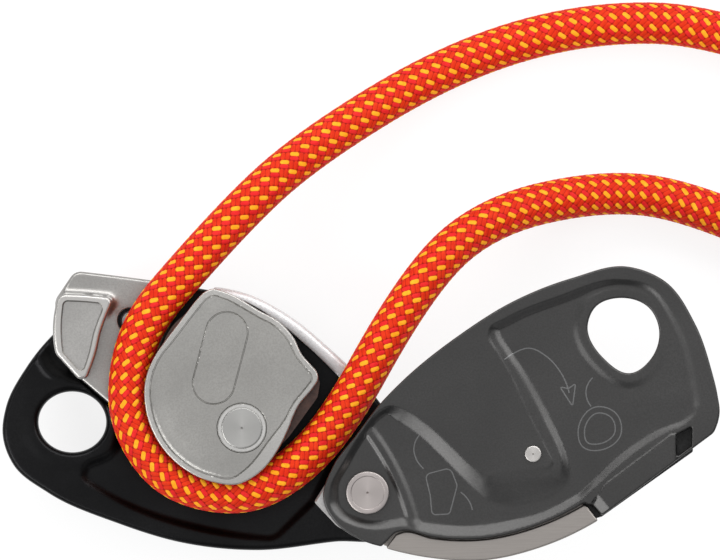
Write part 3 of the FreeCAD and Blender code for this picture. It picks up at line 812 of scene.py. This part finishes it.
def fixed_side_plate():
    black = blasted_metal("black_anodised", (0.014, 0.014, 0.0145), 0.33, variation=0.3, bump=0.2)
    outline = rounded(FIXED_OUTLINE)
    pan = rounded(FIXED_PAN)
    friction = rounded(FRICTION_OUTLINE)

    def top(points):
        sunk = ramp(edge_distance(points, pan), -0.6, 2.2, 0.45)
        under = smooth(edge_distance(points, friction), -0.6, -0.1)
        boss = 1 - smooth(-edge_distance(points, FIXED_HOLE), 1.5, 5.5)
        fold = np.exp(-((edge_distance(points, pan) + 1.6) / 1.0) ** 2) * smooth(points[:, 1], 7.0, 13.0)
        rim = PLATE_RIM - 0.55 + 0.55 * np.maximum(boss, fold)
        return rim - (rim - PAN_FLOOR) * np.maximum(sunk, under)

    creases = [pan, shrink(pan, 2.2), shrink(pan, 1.0)]
    piece = plate("fixed_side_plate_skin", [outline, FIXED_HOLE], top, PLATE_BACK, black,
                  1.4, 0.5, 1.8, creases=creases)
    place(piece, "root", "black_anodised", "fixed_side_plate")


def friction_plate():
    steel = blasted_metal("friction_steel", (0.37, 0.36, 0.345), 0.36)
    outline = rounded(FRICTION_OUTLINE)
    pad = rounded(PAD_OUTLINE)

    def top(points):
        shoulder = np.exp(-np.maximum(-edge_distance(points, pad), 0) / 0.9)
        above = smooth(points[:, 1], 24.0, 31.0)
        return SHEET_TOP + 1.3 * shoulder * above

    sheet = plate("friction_plate_sheet", [outline, circle(SELECTOR, 3.0, 48)], top, PAN_FLOOR + GAP,
                  steel, 0.9, 0.45, 0.3)
    place(sheet, "root", "stainless", "friction_plate")
    polished = blasted_metal("lip_steel", (0.66, 0.66, 0.66), 0.42, metallic=0.55)
    edge = rounded(LIP_OUTLINE, 0.4)
    outer = rounded_path(LIP_OUTER)

    def round_top(points):
        near = path_distance(points, outer)
        crown = np.clip(near / LIP_CROWN, 0, 1)
        inner = np.clip((near - LIP_CROWN) / LIP_CROWN, 0, 1)
        return LIP_TOP - 1.4 * (1 - np.sqrt(np.clip(1 - (1 - crown) ** 2, 0, 1))) - 0.5 * inner ** 2

    lip = plate("friction_plate_lip", [edge], round_top, PAN_FLOOR, polished, 0.15, 0.3,
                creases=[shrink(edge, d) for d in (0.3, 0.5, 0.8)])
    place(lip, "root", "stainless")


def rope_guide_pad():
    # The pad's raised rim gets a painted highlight from its height.
    steel = blasted_metal("pad_steel", (0.4, 0.39, 0.375), 0.38, painted_highlight_above=PAD_TOP - 0.25)
    outline = rounded(PAD_OUTLINE, 0.4)
    field = rounded(PAD_FIELD, 0.4)

    def top(points):
        return PAD_TOP - 0.7 * ramp(edge_distance(points, field), 0.0, 0.35)

    creases = [shrink(field, d) for d in (0.0, 0.12, 0.24, 0.35)]
    piece = plate("rope_guide_pad_skin", [outline], top, SHEET_TOP - 0.2, steel, 0.9, 0.35,
                  rings=6, creases=creases)
    place(piece, "root", "stainless", "rope_guide_pad")


# Cam -------------------------------------------------------
CAM_OUTLINE = [
    (-10.6, 30.7), (-9.1, 32.2), (-7, 33.1), (-4.4, 32.5), (4.2, 27.9), (9.2, 25), (12.4, 21.3),
    (14.2, 17.6), (16.5, 14.9), (17.9, 13.2), (18.1, 11.4), (17.2, 9.9), (13.4, 5.1), (12.1, 2.4),
    (11.2, 0), (2.4, -11.9), (-0.2, -13.2), (-7.8, -12.6), (-17.9, -6), (-22.8, 4),
    (-22.8, 12.1), (-20.9, 16.8), (-18.1, 20.9), (-15.4, 24.5), (-12.6, 28.2),
]
CAM_FIELD = [
    (-9.8, 29.1), (-8.4, 30.7), (-6.7, 31.5), (-4.6, 30.9), (3.5, 26.6), (8.2, 23.9), (11.1, 20.6),
    (12.9, 17), (15.3, 14), (16.5, 12.6), (16.6, 11.4), (15.8, 10.3), (12.2, 5.7), (10.2, 2),
    (6.9, -2.4), (0.4, -10.2), (-2, -11.8), (-7.4, -11.2), (-17, -5), (-21.4, 4.4),
    (-21.4, 12.2), (-19.5, 16.7), (-16.2, 20.9), (-12, 26.4),
]
CAM_MIDDLE = (-3.0, 9.0)
PILL_ENDS = (np.array((-6.7, 10.7)), np.array((-3.6, 22.6)))
PILL_R = 5.0


def groove(distance, half, depth):
    """Narrow round-bottomed groove along the zero line of a distance."""
    return depth * np.exp(-(distance / half) ** 2)


def cam_top_flange():
    steel = blasted_metal("cam_steel", (0.36, 0.352, 0.334), 0.37)
    # Painted highlight: a lighter copy of the cam steel for the rim and bevel outside the field.
    rim_painted_highlight_steel = blasted_metal("cam_rim_painted_highlight_steel", (0.46, 0.45, 0.43), 0.36)
    outline = rounded(CAM_OUTLINE, 0.4)
    field = rounded(CAM_FIELD, 0.4)
    pill = capsule(*PILL_ENDS, PILL_R)

    def top(points):
        field_inside = edge_distance(points, field)
        pill_inside = edge_distance(points, pill)
        from_axle = np.hypot(points[:, 0], points[:, 1])
        bearing = np.arctan2(points[:, 1] - CAM_MIDDLE[1], points[:, 0] - CAM_MIDDLE[0])
        towards_corner = smooth(np.cos(bearing - math.radians(228)), 0.5, 0.95)
        hollow = 0.3 * towards_corner * (1 - smooth(field_inside, 1.0, 5.0))
        height = CAM_FLANGE_TOP - (0.05 + hollow) * ramp(field_inside, 0.15, 0.9)
        height = height - groove(field_inside, 0.14, 0.3)
        height = height - groove(pill_inside, 0.13, 0.3) - 0.06 * smooth(pill_inside, 0.0, 0.3)
        height = height - 0.0006 * from_axle ** 2
        return height - groove(from_axle - 5.75, 0.17, 0.35)

    creases = [shrink(field, d) for d in (-0.2, -0.07, 0.07, 0.2, 0.5, 0.9)]
    creases += [shrink(dense(pill), d) for d in (-0.2, -0.07, 0.07, 0.2)]
    creases += [circle(AXLE, r, 120) for r in (5.5, 5.68, 5.82, 6.0)]
    piece = plate("cam_top_flange_skin", [outline, circle(AXLE, 5.0)], top, CAM_FLANGE_LOW, steel,
                  0.4, 0.32, 0.1, creases=creases)
    # The faces outside the field take the painted highlight, standing in for the light that the rim and
    # bevel catch.
    paint_faces(piece, rim_painted_highlight_steel, lambda centres: edge_distance(centres, field) < 0)
    place(piece, "cam", "cam_satin", "cam_top_flange")


# Moving side plate -----------------------------------------
COVER_OUTLINE = [
    (19.4, -16.8), (21.6, -9.2), (27.2, -1.6), (33.3, 6.3), (38.2, 11.3), (51.9, 22.3), (64, 29.9),
    (78.5, 35.7), (91.6, 38.4), (100.4, 35), (107.7, 24.8), (111.7, 13.4), (113, 8), (113.5, 3.4),
    (112, -1.2, 3), (85.5, -20.9, 0.8), (83.5, -18.6, 0.5),
    (81.3, -17.7, 0.8), (70.2, -23.1), (57.6, -26.2), (45.4, -25.9), (38.2, -24.4), (36.2, -25, 0.8),
    (33.2, -28.1, 0.7), (27.2, -26), (22.2, -22.4),
]
COVER_HOLE = [
    (82.2, 24.4), (83.9, 28.6), (90.6, 30.9), (96.7, 28.6), (99.1, 23.6), (97.2, 16.5), (92.4, 13.1),
    (86, 16.6),
]
SUNK = [
    (31.4, 3.4), (28.2, -0.8), (24.2, -7.4), (20.7, -14.6), (20.6, -18.6), (23, -21.8), (27, -23.8),
    (31, -24.6), (34.4, -24.4, 1), (38.6, -23.7, 2), (45.4, -25.7), (57.6, -26.1), (70.2, -23),
    (81, -17.5, 1), (86.4, -12.6, 2), (101.4, -1.5), (105.6, 0.4), (108.8, 4), (108.2, 12),
    (103.4, 26.6), (97, 34.2), (89.5, 35.6), (74.9, 31.5), (62.6, 26.4), (58.6, 23.8), (58.3, 21.9),
    (60.6, 17.4), (63.6, 12.1), (67, 5), (69.6, -0.2), (72, -4.9), (74.2, -9, 1.2), (66, -9.8),
    (58.6, -11, 0.5), (55, -8.6), (49.9, -3.8), (44.2, 1.3), (39, 4.6), (35.2, 5.5),
]
ISLAND_FOOT = [
    (18, 16, 1), (36.8, 1.5, 0.8), (42.9, -2.9), (49.3, -9.2), (54.4, -14.5), (57.4, -17.3, 0.5),
    (61, -18.7), (67.8, -18.4), (74.6, -16.2), (78.4, -13.2, 1), (78.2, -9.6), (76.6, -3.9),
    (74.2, 1.4), (71.4, 7.2), (67.3, 14.1), (64, 18.8), (61.9, 22.2), (60.6, 25), (60, 50, 1),
]
PIVOT_RIB = np.array([(30.6, -1.6), (35.2, -9.0), (38.0, -15.0), (40.4, -22.6)])
BLOCK = [
    (82.4, -18.4, 0.5), (86.3, -12.9, 1), (101.8, -1.2, 0.8), (103.4, -1, 0.5), (103.4, -9, 0.5),
    (92, -18, 4), (85.2, -23, 0.8),
]
BLOCK_RIDGE = np.array([(86.3, -12.9), (101.8, -1.2)])
BLOCK_END = np.array([(82.4, -18.0), (85.6, -21.6)])
# Outline of a black sheet under the latch block, its slot and the gap at the wear strip's end: painted
# shade, so that these openings read dark.
LATCH_SHADE_SHEET = [
    (80.6, -17.8, 0.5), (83.6, -21.6, 0.5), (85.6, -21, 0.5), (107.2, -5.6, 0.5), (107.2, 0.6, 0.5),
    (102.6, -0.6, 0.5), (84, -14.6, 0.5),
]
SLOT = [(103.4, -6.7, 0.3), (106.8, -4.2, 0.3), (106.9, 0.4, 0.3), (103.4, -1.4, 0.3)]
STRIP_EDGE = [
    (84.7, -21.9, 0.4), (70.2, -28.6), (57.6, -31.4), (45.4, -30.9), (34.1, -28.5, 0.5),
    (36.6, -25.3, 0.6), (38.4, -24.65), (45.4, -26.1), (57.6, -26.4), (70.2, -23.4), (81.6, -18, 0.8),
]
STRIP_FLANGE = [
    (82.6, -21.6, 0.5), (70.2, -27.6), (57.6, -30.2), (45.4, -29.8), (33.4, -27.8, 0.4), (36, -24, 1),
    (52, -12, 6), (66, -1.6, 4), (73.6, -4, 4), (79.4, -15, 2),
]
FLANGE_Z = COVER_HIGH - 0.45
FLOOR_Z = COVER_HIGH - 1.75
BLOCK_Z = COVER_HIGH - 0.05
BOSS_Z = FLANGE_Z - 0.6
BOSS_RIM = 1.7
BOSS_FOOT = 4.0
SHEET_THICK = 2.0
RIB_HEIGHT = 0.62
HOLLOW_BY_RIB = 0.35
# Shares of the way down the island's right wall, and of its fall there near its lower and upper end
STEP_AT = (0.0, 0.11, 0.16, 0.54, 0.62, 0.93, 1.0)
STEP_LOW = (0.0, 0.16, 0.2, 0.24, 0.32, 0.92, 1.0)
STEP_HIGH = (0.0, 0.12, 0.17, 0.45, 0.54, 0.95, 1.0)


class CoverShape:
    """Heights of the moving side plate from distances to its drawn outlines."""

    def __init__(self):
        self.sunk = rounded(SUNK)
        self.foot = rounded(ISLAND_FOOT)
        self.hole = rounded(COVER_HOLE, 0.4)
        self.block = rounded(BLOCK, 0.4)
        self.slot = rounded(SLOT, 0.3)
        self.rib = rounded_path(PIVOT_RIB)

    def creases(self):
        lines = [self.sunk, shrink(self.sunk, 2.0), shrink(self.sunk, 3.0)]
        lines += [self.foot, shrink(self.hole, -BOSS_RIM), shrink(self.hole, -BOSS_FOOT)]
        lines += [self.block, shrink(self.block, 0.3), shrink(self.block, 0.9)]
        lines += [circle(PIVOT, r, 80) for r in (5.5, 5.8)]
        return lines

    def island_wall(self, points, inside):
        """Share of the pressed depth between the island's crest and its foot."""
        y = points[:, 1]
        before_foot = np.maximum(edge_distance(points, self.foot), 0)
        past_crest = inside / (inside + before_foot + 1e-9)
        single = ramp(past_crest, 0.0, 1.0, 0.12)
        low_step = np.interp(past_crest, STEP_AT, STEP_LOW)
        high_step = np.interp(past_crest, STEP_AT, STEP_HIGH)
        stepped = low_step + (high_step - low_step) * smooth(y, -6.0, 13.0)
        right_side = smooth(points[:, 0], 56.0, 58.0) * smooth(y, -14.0, -6.0)
        return single + (stepped - single) * right_side

    def pressed(self, points, beside_rib):
        """Share of the pressed depth, and the height of the pocket's floor."""
        x, y = points[:, 0], points[:, 1]
        deeper = smooth(beside_rib, 0.0, 8.0) * (1 - smooth(x + y, 40.0, 52.0))
        upper = smooth(y, 3.0, 8.0)
        wall = 2.0 + (1.0 + 0.8 * deeper) * smooth(-y, 12.0, 18.0)
        wall = wall + 0.8 * smooth(x, 80.0, 84.0) * smooth(-y, -4.0, 2.0) + 0.4 * upper
        inside = np.maximum(edge_distance(points, self.sunk), 0)
        depth = np.minimum(ramp(inside / wall, 0.0, 1.0), self.island_wall(points, inside))
        floor = FLOOR_Z - HOLLOW_BY_RIB * deeper + (0.45 + 0.3 * upper) * smooth(x, 88.0, 105.0)
        return depth, floor

    def block_top(self, points):
        """Face of the latch block, which bends down at its ridge and slopes off at its end."""
        ridge = path_distance(points, BLOCK_RIDGE)
        end = path_distance(points, BLOCK_END)
        drop = np.maximum(0.02 * ridge, 0.2 - 0.53 * ridge)
        return BLOCK_Z - np.maximum(drop, 1.75 - 0.5 * end)

    def relief(self, points):
        """Pressed shape without the rounding of the edges."""
        beside_rib = points[:, 0] - np.interp(-points[:, 1], -PIVOT_RIB[:, 1], PIVOT_RIB[:, 0])
        depth, floor = self.pressed(points, beside_rib)
        height = FLANGE_Z - (FLANGE_Z - floor) * depth
        boss = 1 - ramp(-edge_distance(points, self.hole), BOSS_RIM, BOSS_FOOT)
        height = np.maximum(height, height + (BOSS_Z - height) * boss)
        reach = 1.5 + 1.1 * smooth(beside_rib, -0.2, 0.2)
        rib = 1 - ramp(path_distance(points, self.rib) / reach, 0.1, 1.0, 0.3)
        height = height + RIB_HEIGHT * rib * depth
        block = ramp(edge_distance(points, self.block), 0.0, 0.5)
        return height + (self.block_top(points) - height) * block

    def top(self, points):
        height = self.relief(points)
        from_pivot = np.hypot(points[:, 0] - PIVOT[0], points[:, 1] - PIVOT[1])
        seat = 1 - smooth(from_pivot, 5.4, 6.2)
        return height * (1 - seat) + FLOOR_Z * seat

    def bottom(self, points):
        solid = ramp(edge_distance(points, self.block), -1.0, 0.0)
        under = np.maximum(self.relief(points) - SHEET_THICK, COVER_BACK)
        return under * (1 - solid) + COVER_BACK * solid


MARK_LINES = [
    [(62.4, 16.3), (64.3, 17.6), (68.3, 19), (72.3, 17.1), (75.6, 13.5), (77.8, 8.4)],
    [(42.1, -1.8), (40.9, -5), (41.5, -7.4), (43.2, -9.6)],
    [(52, -15.2), (53.8, -17), (54.8, -19.4)],
    [(83, 5.2), (81.8, 9), (83.4, 12)],
]
MARK_HEAD = [(75.6, 9.8, 0.2), (78.6, 5.2, 0.2), (79.3, 10.6, 0.2), (77.6, 9.4, 0.2)]
MARK_RING = [(80.0, 0.0), (84.0, 5.0), (89.0, 3.4), (90.0, -1.6), (86.0, -5.0), (81.0, -4.4)]
MARK_TAB = [
    (43.6, -11, 1.2), (49.6, -9.4, 1.6), (51.2, -13.6, 1.6), (49.4, -20.4, 1), (45.2, -20.6, 1),
    (44.8, -16, 2),
]


def etched_marks(shape):
    """Generic signs with no lettering: an arrow, a ring, a tab and short curved lines."""
    pale = blasted_metal("etched_lines", (0.16, 0.16, 0.16), 0.4)
    ring = rounded(MARK_RING, 0.4)
    loops = (rounded(MARK_HEAD, 0.3), ring, shrink(ring, 1.5), rounded(MARK_TAB, 0.4))
    paths = [rounded_path(line) for line in MARK_LINES] + [closed(loop) for loop in loops]
    piece = ribbon("etched_marks", paths, 0.3, lambda p: shape.top(p) + 0.01, pale)
    place(piece, "side_plate", "grey_anodised")


def moving_side_plate():
    grey = blasted_metal("grey_anodised", (0.07, 0.069, 0.068), 0.34, variation=0.1, bump=0.2)
    shape = CoverShape()
    bores = [circle(PIVOT, 4.0), circle(STRIP_RIVET, 1.3, 32)]
    loops = [rounded(COVER_OUTLINE), shape.hole, *bores, shape.slot]
    piece = plate("moving_side_plate_skin", loops, shape.top, shape.bottom, grey, 0.5, 0.42, 0.5,
                  creases=shape.creases())
    place(piece, "side_plate", "grey_anodised", "moving_side_plate", "latch_block")
    etched_marks(shape)
    # Painted shade: a thin black sheet under the plate stands in for the shade seen through the slot and
    # through the gap by the strip's end.
    dark = moulded_plastic("latch_painted_shade_black", (0.006, 0.006, 0.006), 0.7)
    spring = rounded(LATCH_SHADE_SHEET, 0.6)
    shade_sheet_piece = plate("latch_painted_shade_sheet", [spring], COVER_BACK + 0.9, COVER_BACK + GAP, dark, 0.15, 1.0)
    place(shade_sheet_piece, "side_plate", "black_anodised")


def wear_strip():
    steel = brushed_metal("wear_strip_steel", (0.33, 0.305, 0.285), 0.42, 0.35)
    edge = rounded(STRIP_EDGE)
    piece = plate("wear_strip_edge", [edge], STRIP_HIGH, STRIP_LOW, steel, 0.45, 0.4)
    place(piece, "side_plate", "stainless", "wear_strip")
    flange = rounded(STRIP_FLANGE)
    under = plate("wear_strip_flange", [flange], COVER_BACK - GAP, STRIP_LOW, steel, 0.2, 1.0)
    place(under, "side_plate", "stainless")


# Turned heads ----------------------------------------------
def turned_head(name, node, body, centre, radius, colour, recess=0.0, dot=0.3):
    """Machined rivet head with a chamfered rim, a faced recess and a centre mark."""
    low, high = heights(node)
    chamfer = 0.35
    profile = [
        (low, CENTRE_R), (low, radius - 0.02), (low + 0.1, radius), (high - chamfer, radius),
        (high - 0.1, radius - 0.12), (high, radius - chamfer),
    ]
    if recess:
        profile += [(high, recess + 0.2), (high, recess + 0.1), (high - 0.06, recess)]
        high = high - 0.16
        profile += [(high, recess - 0.1), (high, recess - 0.2)]
    else:
        profile += [(high, radius - chamfer - 0.1)]
    profile += [(high, dot + 0.2), (high, dot), (high - 0.12, dot * 0.6), (high - 0.3, CENTRE_R)]
    steel = turned_metal(name + "_steel", colour, 0.38, centre)
    head = revolve(name, (*centre, 0.0), UPRIGHT, profile, steel, 96)
    place(head, body, "bright_steel", node)


def turned_heads():
    turned_head("pivot_rivet_head", "pivot_rivet", "root", PIVOT, 5.1, (0.44, 0.4, 0.385), recess=3.95)
    turned_head("cam_axle_head", "cam_axle", "root", AXLE, 4.9, (0.42, 0.415, 0.4))
    turned_head("wear_strip_rivet_head", "wear_strip_rivet", "side_plate", STRIP_RIVET, 2.0,
                (0.55, 0.53, 0.51), dot=0.2)


# Rope ------------------------------------------------------
WRAP_ROUTE = [
    (-17.2, 32.8), (-22.8, 26.3), (-26.9, 14.3), (-26.9, 1.6), (-19.4, -10.6),
    (-8.8, -15.3), (3.2, -15.5), (15, -7.9), (24.6, 4.1), (30, 13.9),
]
CLIMBER_ROUTE = [
    (-17.2, 32.8, ROPE_MID_Z), (-2.8, 49.51, ROPE_MID_Z), (15.5, 66.4, 14.5),
    (49.6, 87.3, ROPE_FLOOR_Z), (81.8, 96.9, ROPE_FLOOR_Z), (114, 96.4, ROPE_FLOOR_Z),
    (138, 86, ROPE_FLOOR_Z),
]
BRAKE_ROUTE = [
    (30, 13.9, ROPE_MID_Z), (41.7, 35.13, ROPE_MID_Z), (58.6, 50.5, 14),
    (85, 56.6, ROPE_FLOOR_Z), (106, 54.6, ROPE_FLOOR_Z), (124, 46.6, ROPE_FLOOR_Z),
]
YARNS_AROUND = 40
FLECK_PITCH = 3.16
RING_STEP = 0.2
RING_POINTS = 160
WEAVE_DEPTH = 0.24
FLOAT_HALF_WIDTH = 0.58


def spline_points(route):
    """Points along the smooth curve that the route's points control, in millimetres."""
    data = bpy.data.curves.new("route", "CURVE")
    data.dimensions = "3D"
    spline = data.splines.new("NURBS")
    spline.points.add(len(route) - 1)
    for target, (x, y, z) in zip(spline.points, route):
        target.co = (x * MM, y * MM, z * MM, 1)
    spline.order_u = 3
    spline.use_endpoint_u = True
    spline.resolution_u = 48
    carrier = bpy.data.objects.new("route", data)
    mesh = bpy.data.meshes.new_from_object(carrier)
    points = np.array([tuple(v.co) for v in mesh.vertices]) / MM
    bpy.data.objects.remove(carrier)
    bpy.data.meshes.remove(mesh)
    bpy.data.curves.remove(data)
    return points


def carried_frames(points):
    """Two directions across the line at each point that turn as little as they can."""
    tangents = np.gradient(points, axis=0)
    tangents /= np.linalg.norm(tangents, axis=1)[:, None]
    side = np.cross(tangents[0], (0, 0, 1.0))
    side /= np.linalg.norm(side)
    sides = []
    for tangent in tangents:
        side = side - tangent * (side @ tangent)
        side /= np.linalg.norm(side)
        sides.append(side)
    sides = np.array(sides)
    return sides, np.cross(tangents, sides)


def float_distance(across, along, offset, shift):
    """Distance from the core line of the nearest float, in yarn widths."""
    yarn = np.round(across)
    pair = np.floor((yarn + shift) / 2)
    run = (2 * pair - along + offset) % 4 - 1
    past = np.maximum(np.abs(run) - 0.5, 0)
    return np.sqrt(past ** 2 + (across - yarn) ** 2)


def weave_height(around, along):
    """Height of the woven surface: pairs of floats, each over a pair of the other hand."""
    first = (around + along) / 2
    second = (around - along) / 2
    near = np.minimum(float_distance(first, second, *HANDS[0]), float_distance(second, first, *HANDS[1]))
    return np.sqrt(np.clip(1 - (near / FLOAT_HALF_WIDTH) ** 2, 0, 1))


def woven_tube(name, points, travelled, sides, ups, material):
    """Rope mesh whose surface carries the weave; the UV map counts half yarns."""
    around = np.linspace(YARNS_AROUND, 0, RING_POINTS + 1)
    angle = -2 * np.pi * around[:-1] / YARNS_AROUND
    along = travelled / FLECK_PITCH * 4
    height = weave_height(around[None, :-1], along[:, None])
    radius = ROPE_R + WEAVE_DEPTH * (height - 1.0)
    spokes = sides[:, None] * np.cos(angle)[None, :, None] + ups[:, None] * np.sin(angle)[None, :, None]
    vertices = (points[:, None, :] + radius[..., None] * spokes).reshape(-1, 3)
    i = np.arange(len(points) - 1)[:, None] * RING_POINTS
    j = np.arange(RING_POINTS)[None, :]
    k = (j + 1) % RING_POINTS
    faces = np.stack([i + j, i + k, i + RING_POINTS + k, i + RING_POINTS + j], -1).reshape(-1, 4)
    mesh = bpy.data.meshes.new(name)
    mesh.from_pydata((vertices * MM).tolist(), [], faces.tolist())
    layer = mesh.uv_layers.new(name="weave")
    grid = np.stack(np.meshgrid(around, along), -1)
    corners = np.stack([grid[:-1, :-1], grid[:-1, 1:], grid[1:, 1:], grid[1:, :-1]], 2)
    layer.data.foreach_set("uv", corners.reshape(-1).astype(np.float32))
    mesh.polygons.foreach_set("use_smooth", np.ones(len(mesh.polygons), bool))
    mesh.materials.append(material)
    return show(name, mesh)


def ring_centres(points):
    return respaced(points, int(round(ways(points)[-1] / RING_STEP)) + 1)


def make_rope():
    """Climber strand, wrap round the cam and brake strand share one weave that runs through."""
    climber = ring_centres(spline_points(CLIMBER_ROUTE)[::-1])
    middle = ring_centres(spline_points([(x, y, ROPE_MID_Z) for x, y in WRAP_ROUTE]))
    brake = ring_centres(spline_points(BRAKE_ROUTE))
    whole = np.concatenate([climber, middle[1:], brake[1:]])
    travelled = ways(whole)
    sides, ups = carried_frames(whole)
    material = rope_material()
    first = len(climber)
    second = first + len(middle) - 1
    spans = {
        "rope_climber_strand": slice(0, first),
        "rope_wrap": slice(first - 1, second),
        "rope_brake_strand": slice(second - 1, len(whole)),
    }
    for name, span in spans.items():
        tube = woven_tube(name + "_woven", whole[span], travelled[span], sides[span], ups[span], material)
        place(tube, "root", "rope_fabric", name)
    declare_strand(climber[::-1], "climber_end_cap")
    declare_strand(brake, "brake_end_cap")


def declare_strand(line, cap_name):
    """End cap on a free strand that runs from the device's mouth to its capped end."""
    cap = end_cap(cap_name, line[-1], line[-1] - line[-8])


# Way along the sleeve and its radius there
SLEEVE_PROFILE = [
    (0, 4.4), (0, 4.75), (0.5, 4.95), (6, 4.98), (14, 4.92), (18, 4.86), (19.3, 4.6),
    (19.8, 3.9), (20, 2.4), (19.7, 0.05),
]


def end_cap(name, start, direction):
    """Heat-shrunk sleeve over the sealed end, with a turned-in rim."""
    black = moulded_plastic(name + "_sleeve", (0.012, 0.012, 0.013), 0.38, 500.0)
    along = unit(direction)
    side = np.cross(along, (0, 0, 1.0))
    cap = revolve(name + "_skin", start, (side, np.cross(side, along), along), SLEEVE_PROFILE, black, 64)
    place(cap, "root", "sleeve_plastic", name)
    return cap


# Button spring and the CAD nodes that keep their shape -----
SPRING_TAPER = 1.0
SPRING_WALL = 0.5


def button_spring():
    """Coned spring washer over the lock button; the real washer flattens as the button is pressed, but
    this one keeps its cone.
    """
    corner, opposite = node_mm("button_spring")
    low, high = heights("button_spring")
    wide = (opposite[0] - corner[0]) / 2
    narrow = wide - SPRING_TAPER
    profile = [(low, wide), (high, narrow), (high, narrow - SPRING_WALL), (low, wide - SPRING_WALL)]
    steel = blasted_metal("spring_steel", (0.5, 0.5, 0.49), 0.34)
    piece = revolve("button_spring_washer", (*SELECTOR, 0.0), UPRIGHT, profile, steel, 72, ring=True)
    place(piece, "selector", "bright_steel", "button_spring")
    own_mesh(piece)


def dress(material, *nodes):
    """The material takes the place of every material of these CAD nodes."""
    for name in nodes:
        slots = bpy.data.objects[name].data.materials
        if not slots:
            slots.append(material)
        for index in range(len(slots)):
            slots[index] = material


def dress_cad_nodes():
    bright = blasted_metal("small_parts_steel", (0.6, 0.59, 0.57), 0.3)
    dress(bright, "guide_pad_rivet_upper", "guide_pad_rivet_lower", "pivot_washer", "wave_washer",
          "axle_washer", "cam_stop_pin", "selector_detent_ball", "cam_return_spring",
          "handle_return_spring", "release_pawl_pin")
    dress(turned_metal("stud_steel", (0.42, 0.43, 0.44), 0.35, SELECTOR), "selector_stud")
    dress(blasted_metal("anvil_steel", (0.55, 0.54, 0.53), 0.35), "friction_anvil")
    dress(core_painted_shade_metal(), "cam_core")
    dress(blasted_metal("flange_steel", (0.5, 0.5, 0.49), 0.4), "cam_bottom_flange")
    dress(blasted_metal("bearing_bronze", (0.5, 0.33, 0.14), 0.35), "cam_bushing", "handle_bushing",
          "pivot_bushing", "handle_thrust_washer")
    dress(blasted_metal("lever_steel", (0.5, 0.49, 0.48), 0.38), "handle_lever", "release_pawl")
    dress(moulded_plastic("handle_nylon", (0.022, 0.022, 0.024)), "handle_shell", "selector_lock_button")
    dress(moulded_plastic("grip_rubber", (0.52, 0.035, 0.015), 0.65), "handle_grip_inlay")
    dress(moulded_plastic("knob_nylon", (0.55, 0.03, 0.012), 0.42), "selector_knob")


make_camera()
make_rope()
fixed_side_plate()
friction_plate()
rope_guide_pad()
cam_top_flange()
moving_side_plate()
wear_strip()
turned_heads()
button_spring()
dress_cad_nodes()
make_floor()
make_world()
make_lights()
bpy.context.scene.view_settings.view_transform = "Standard"
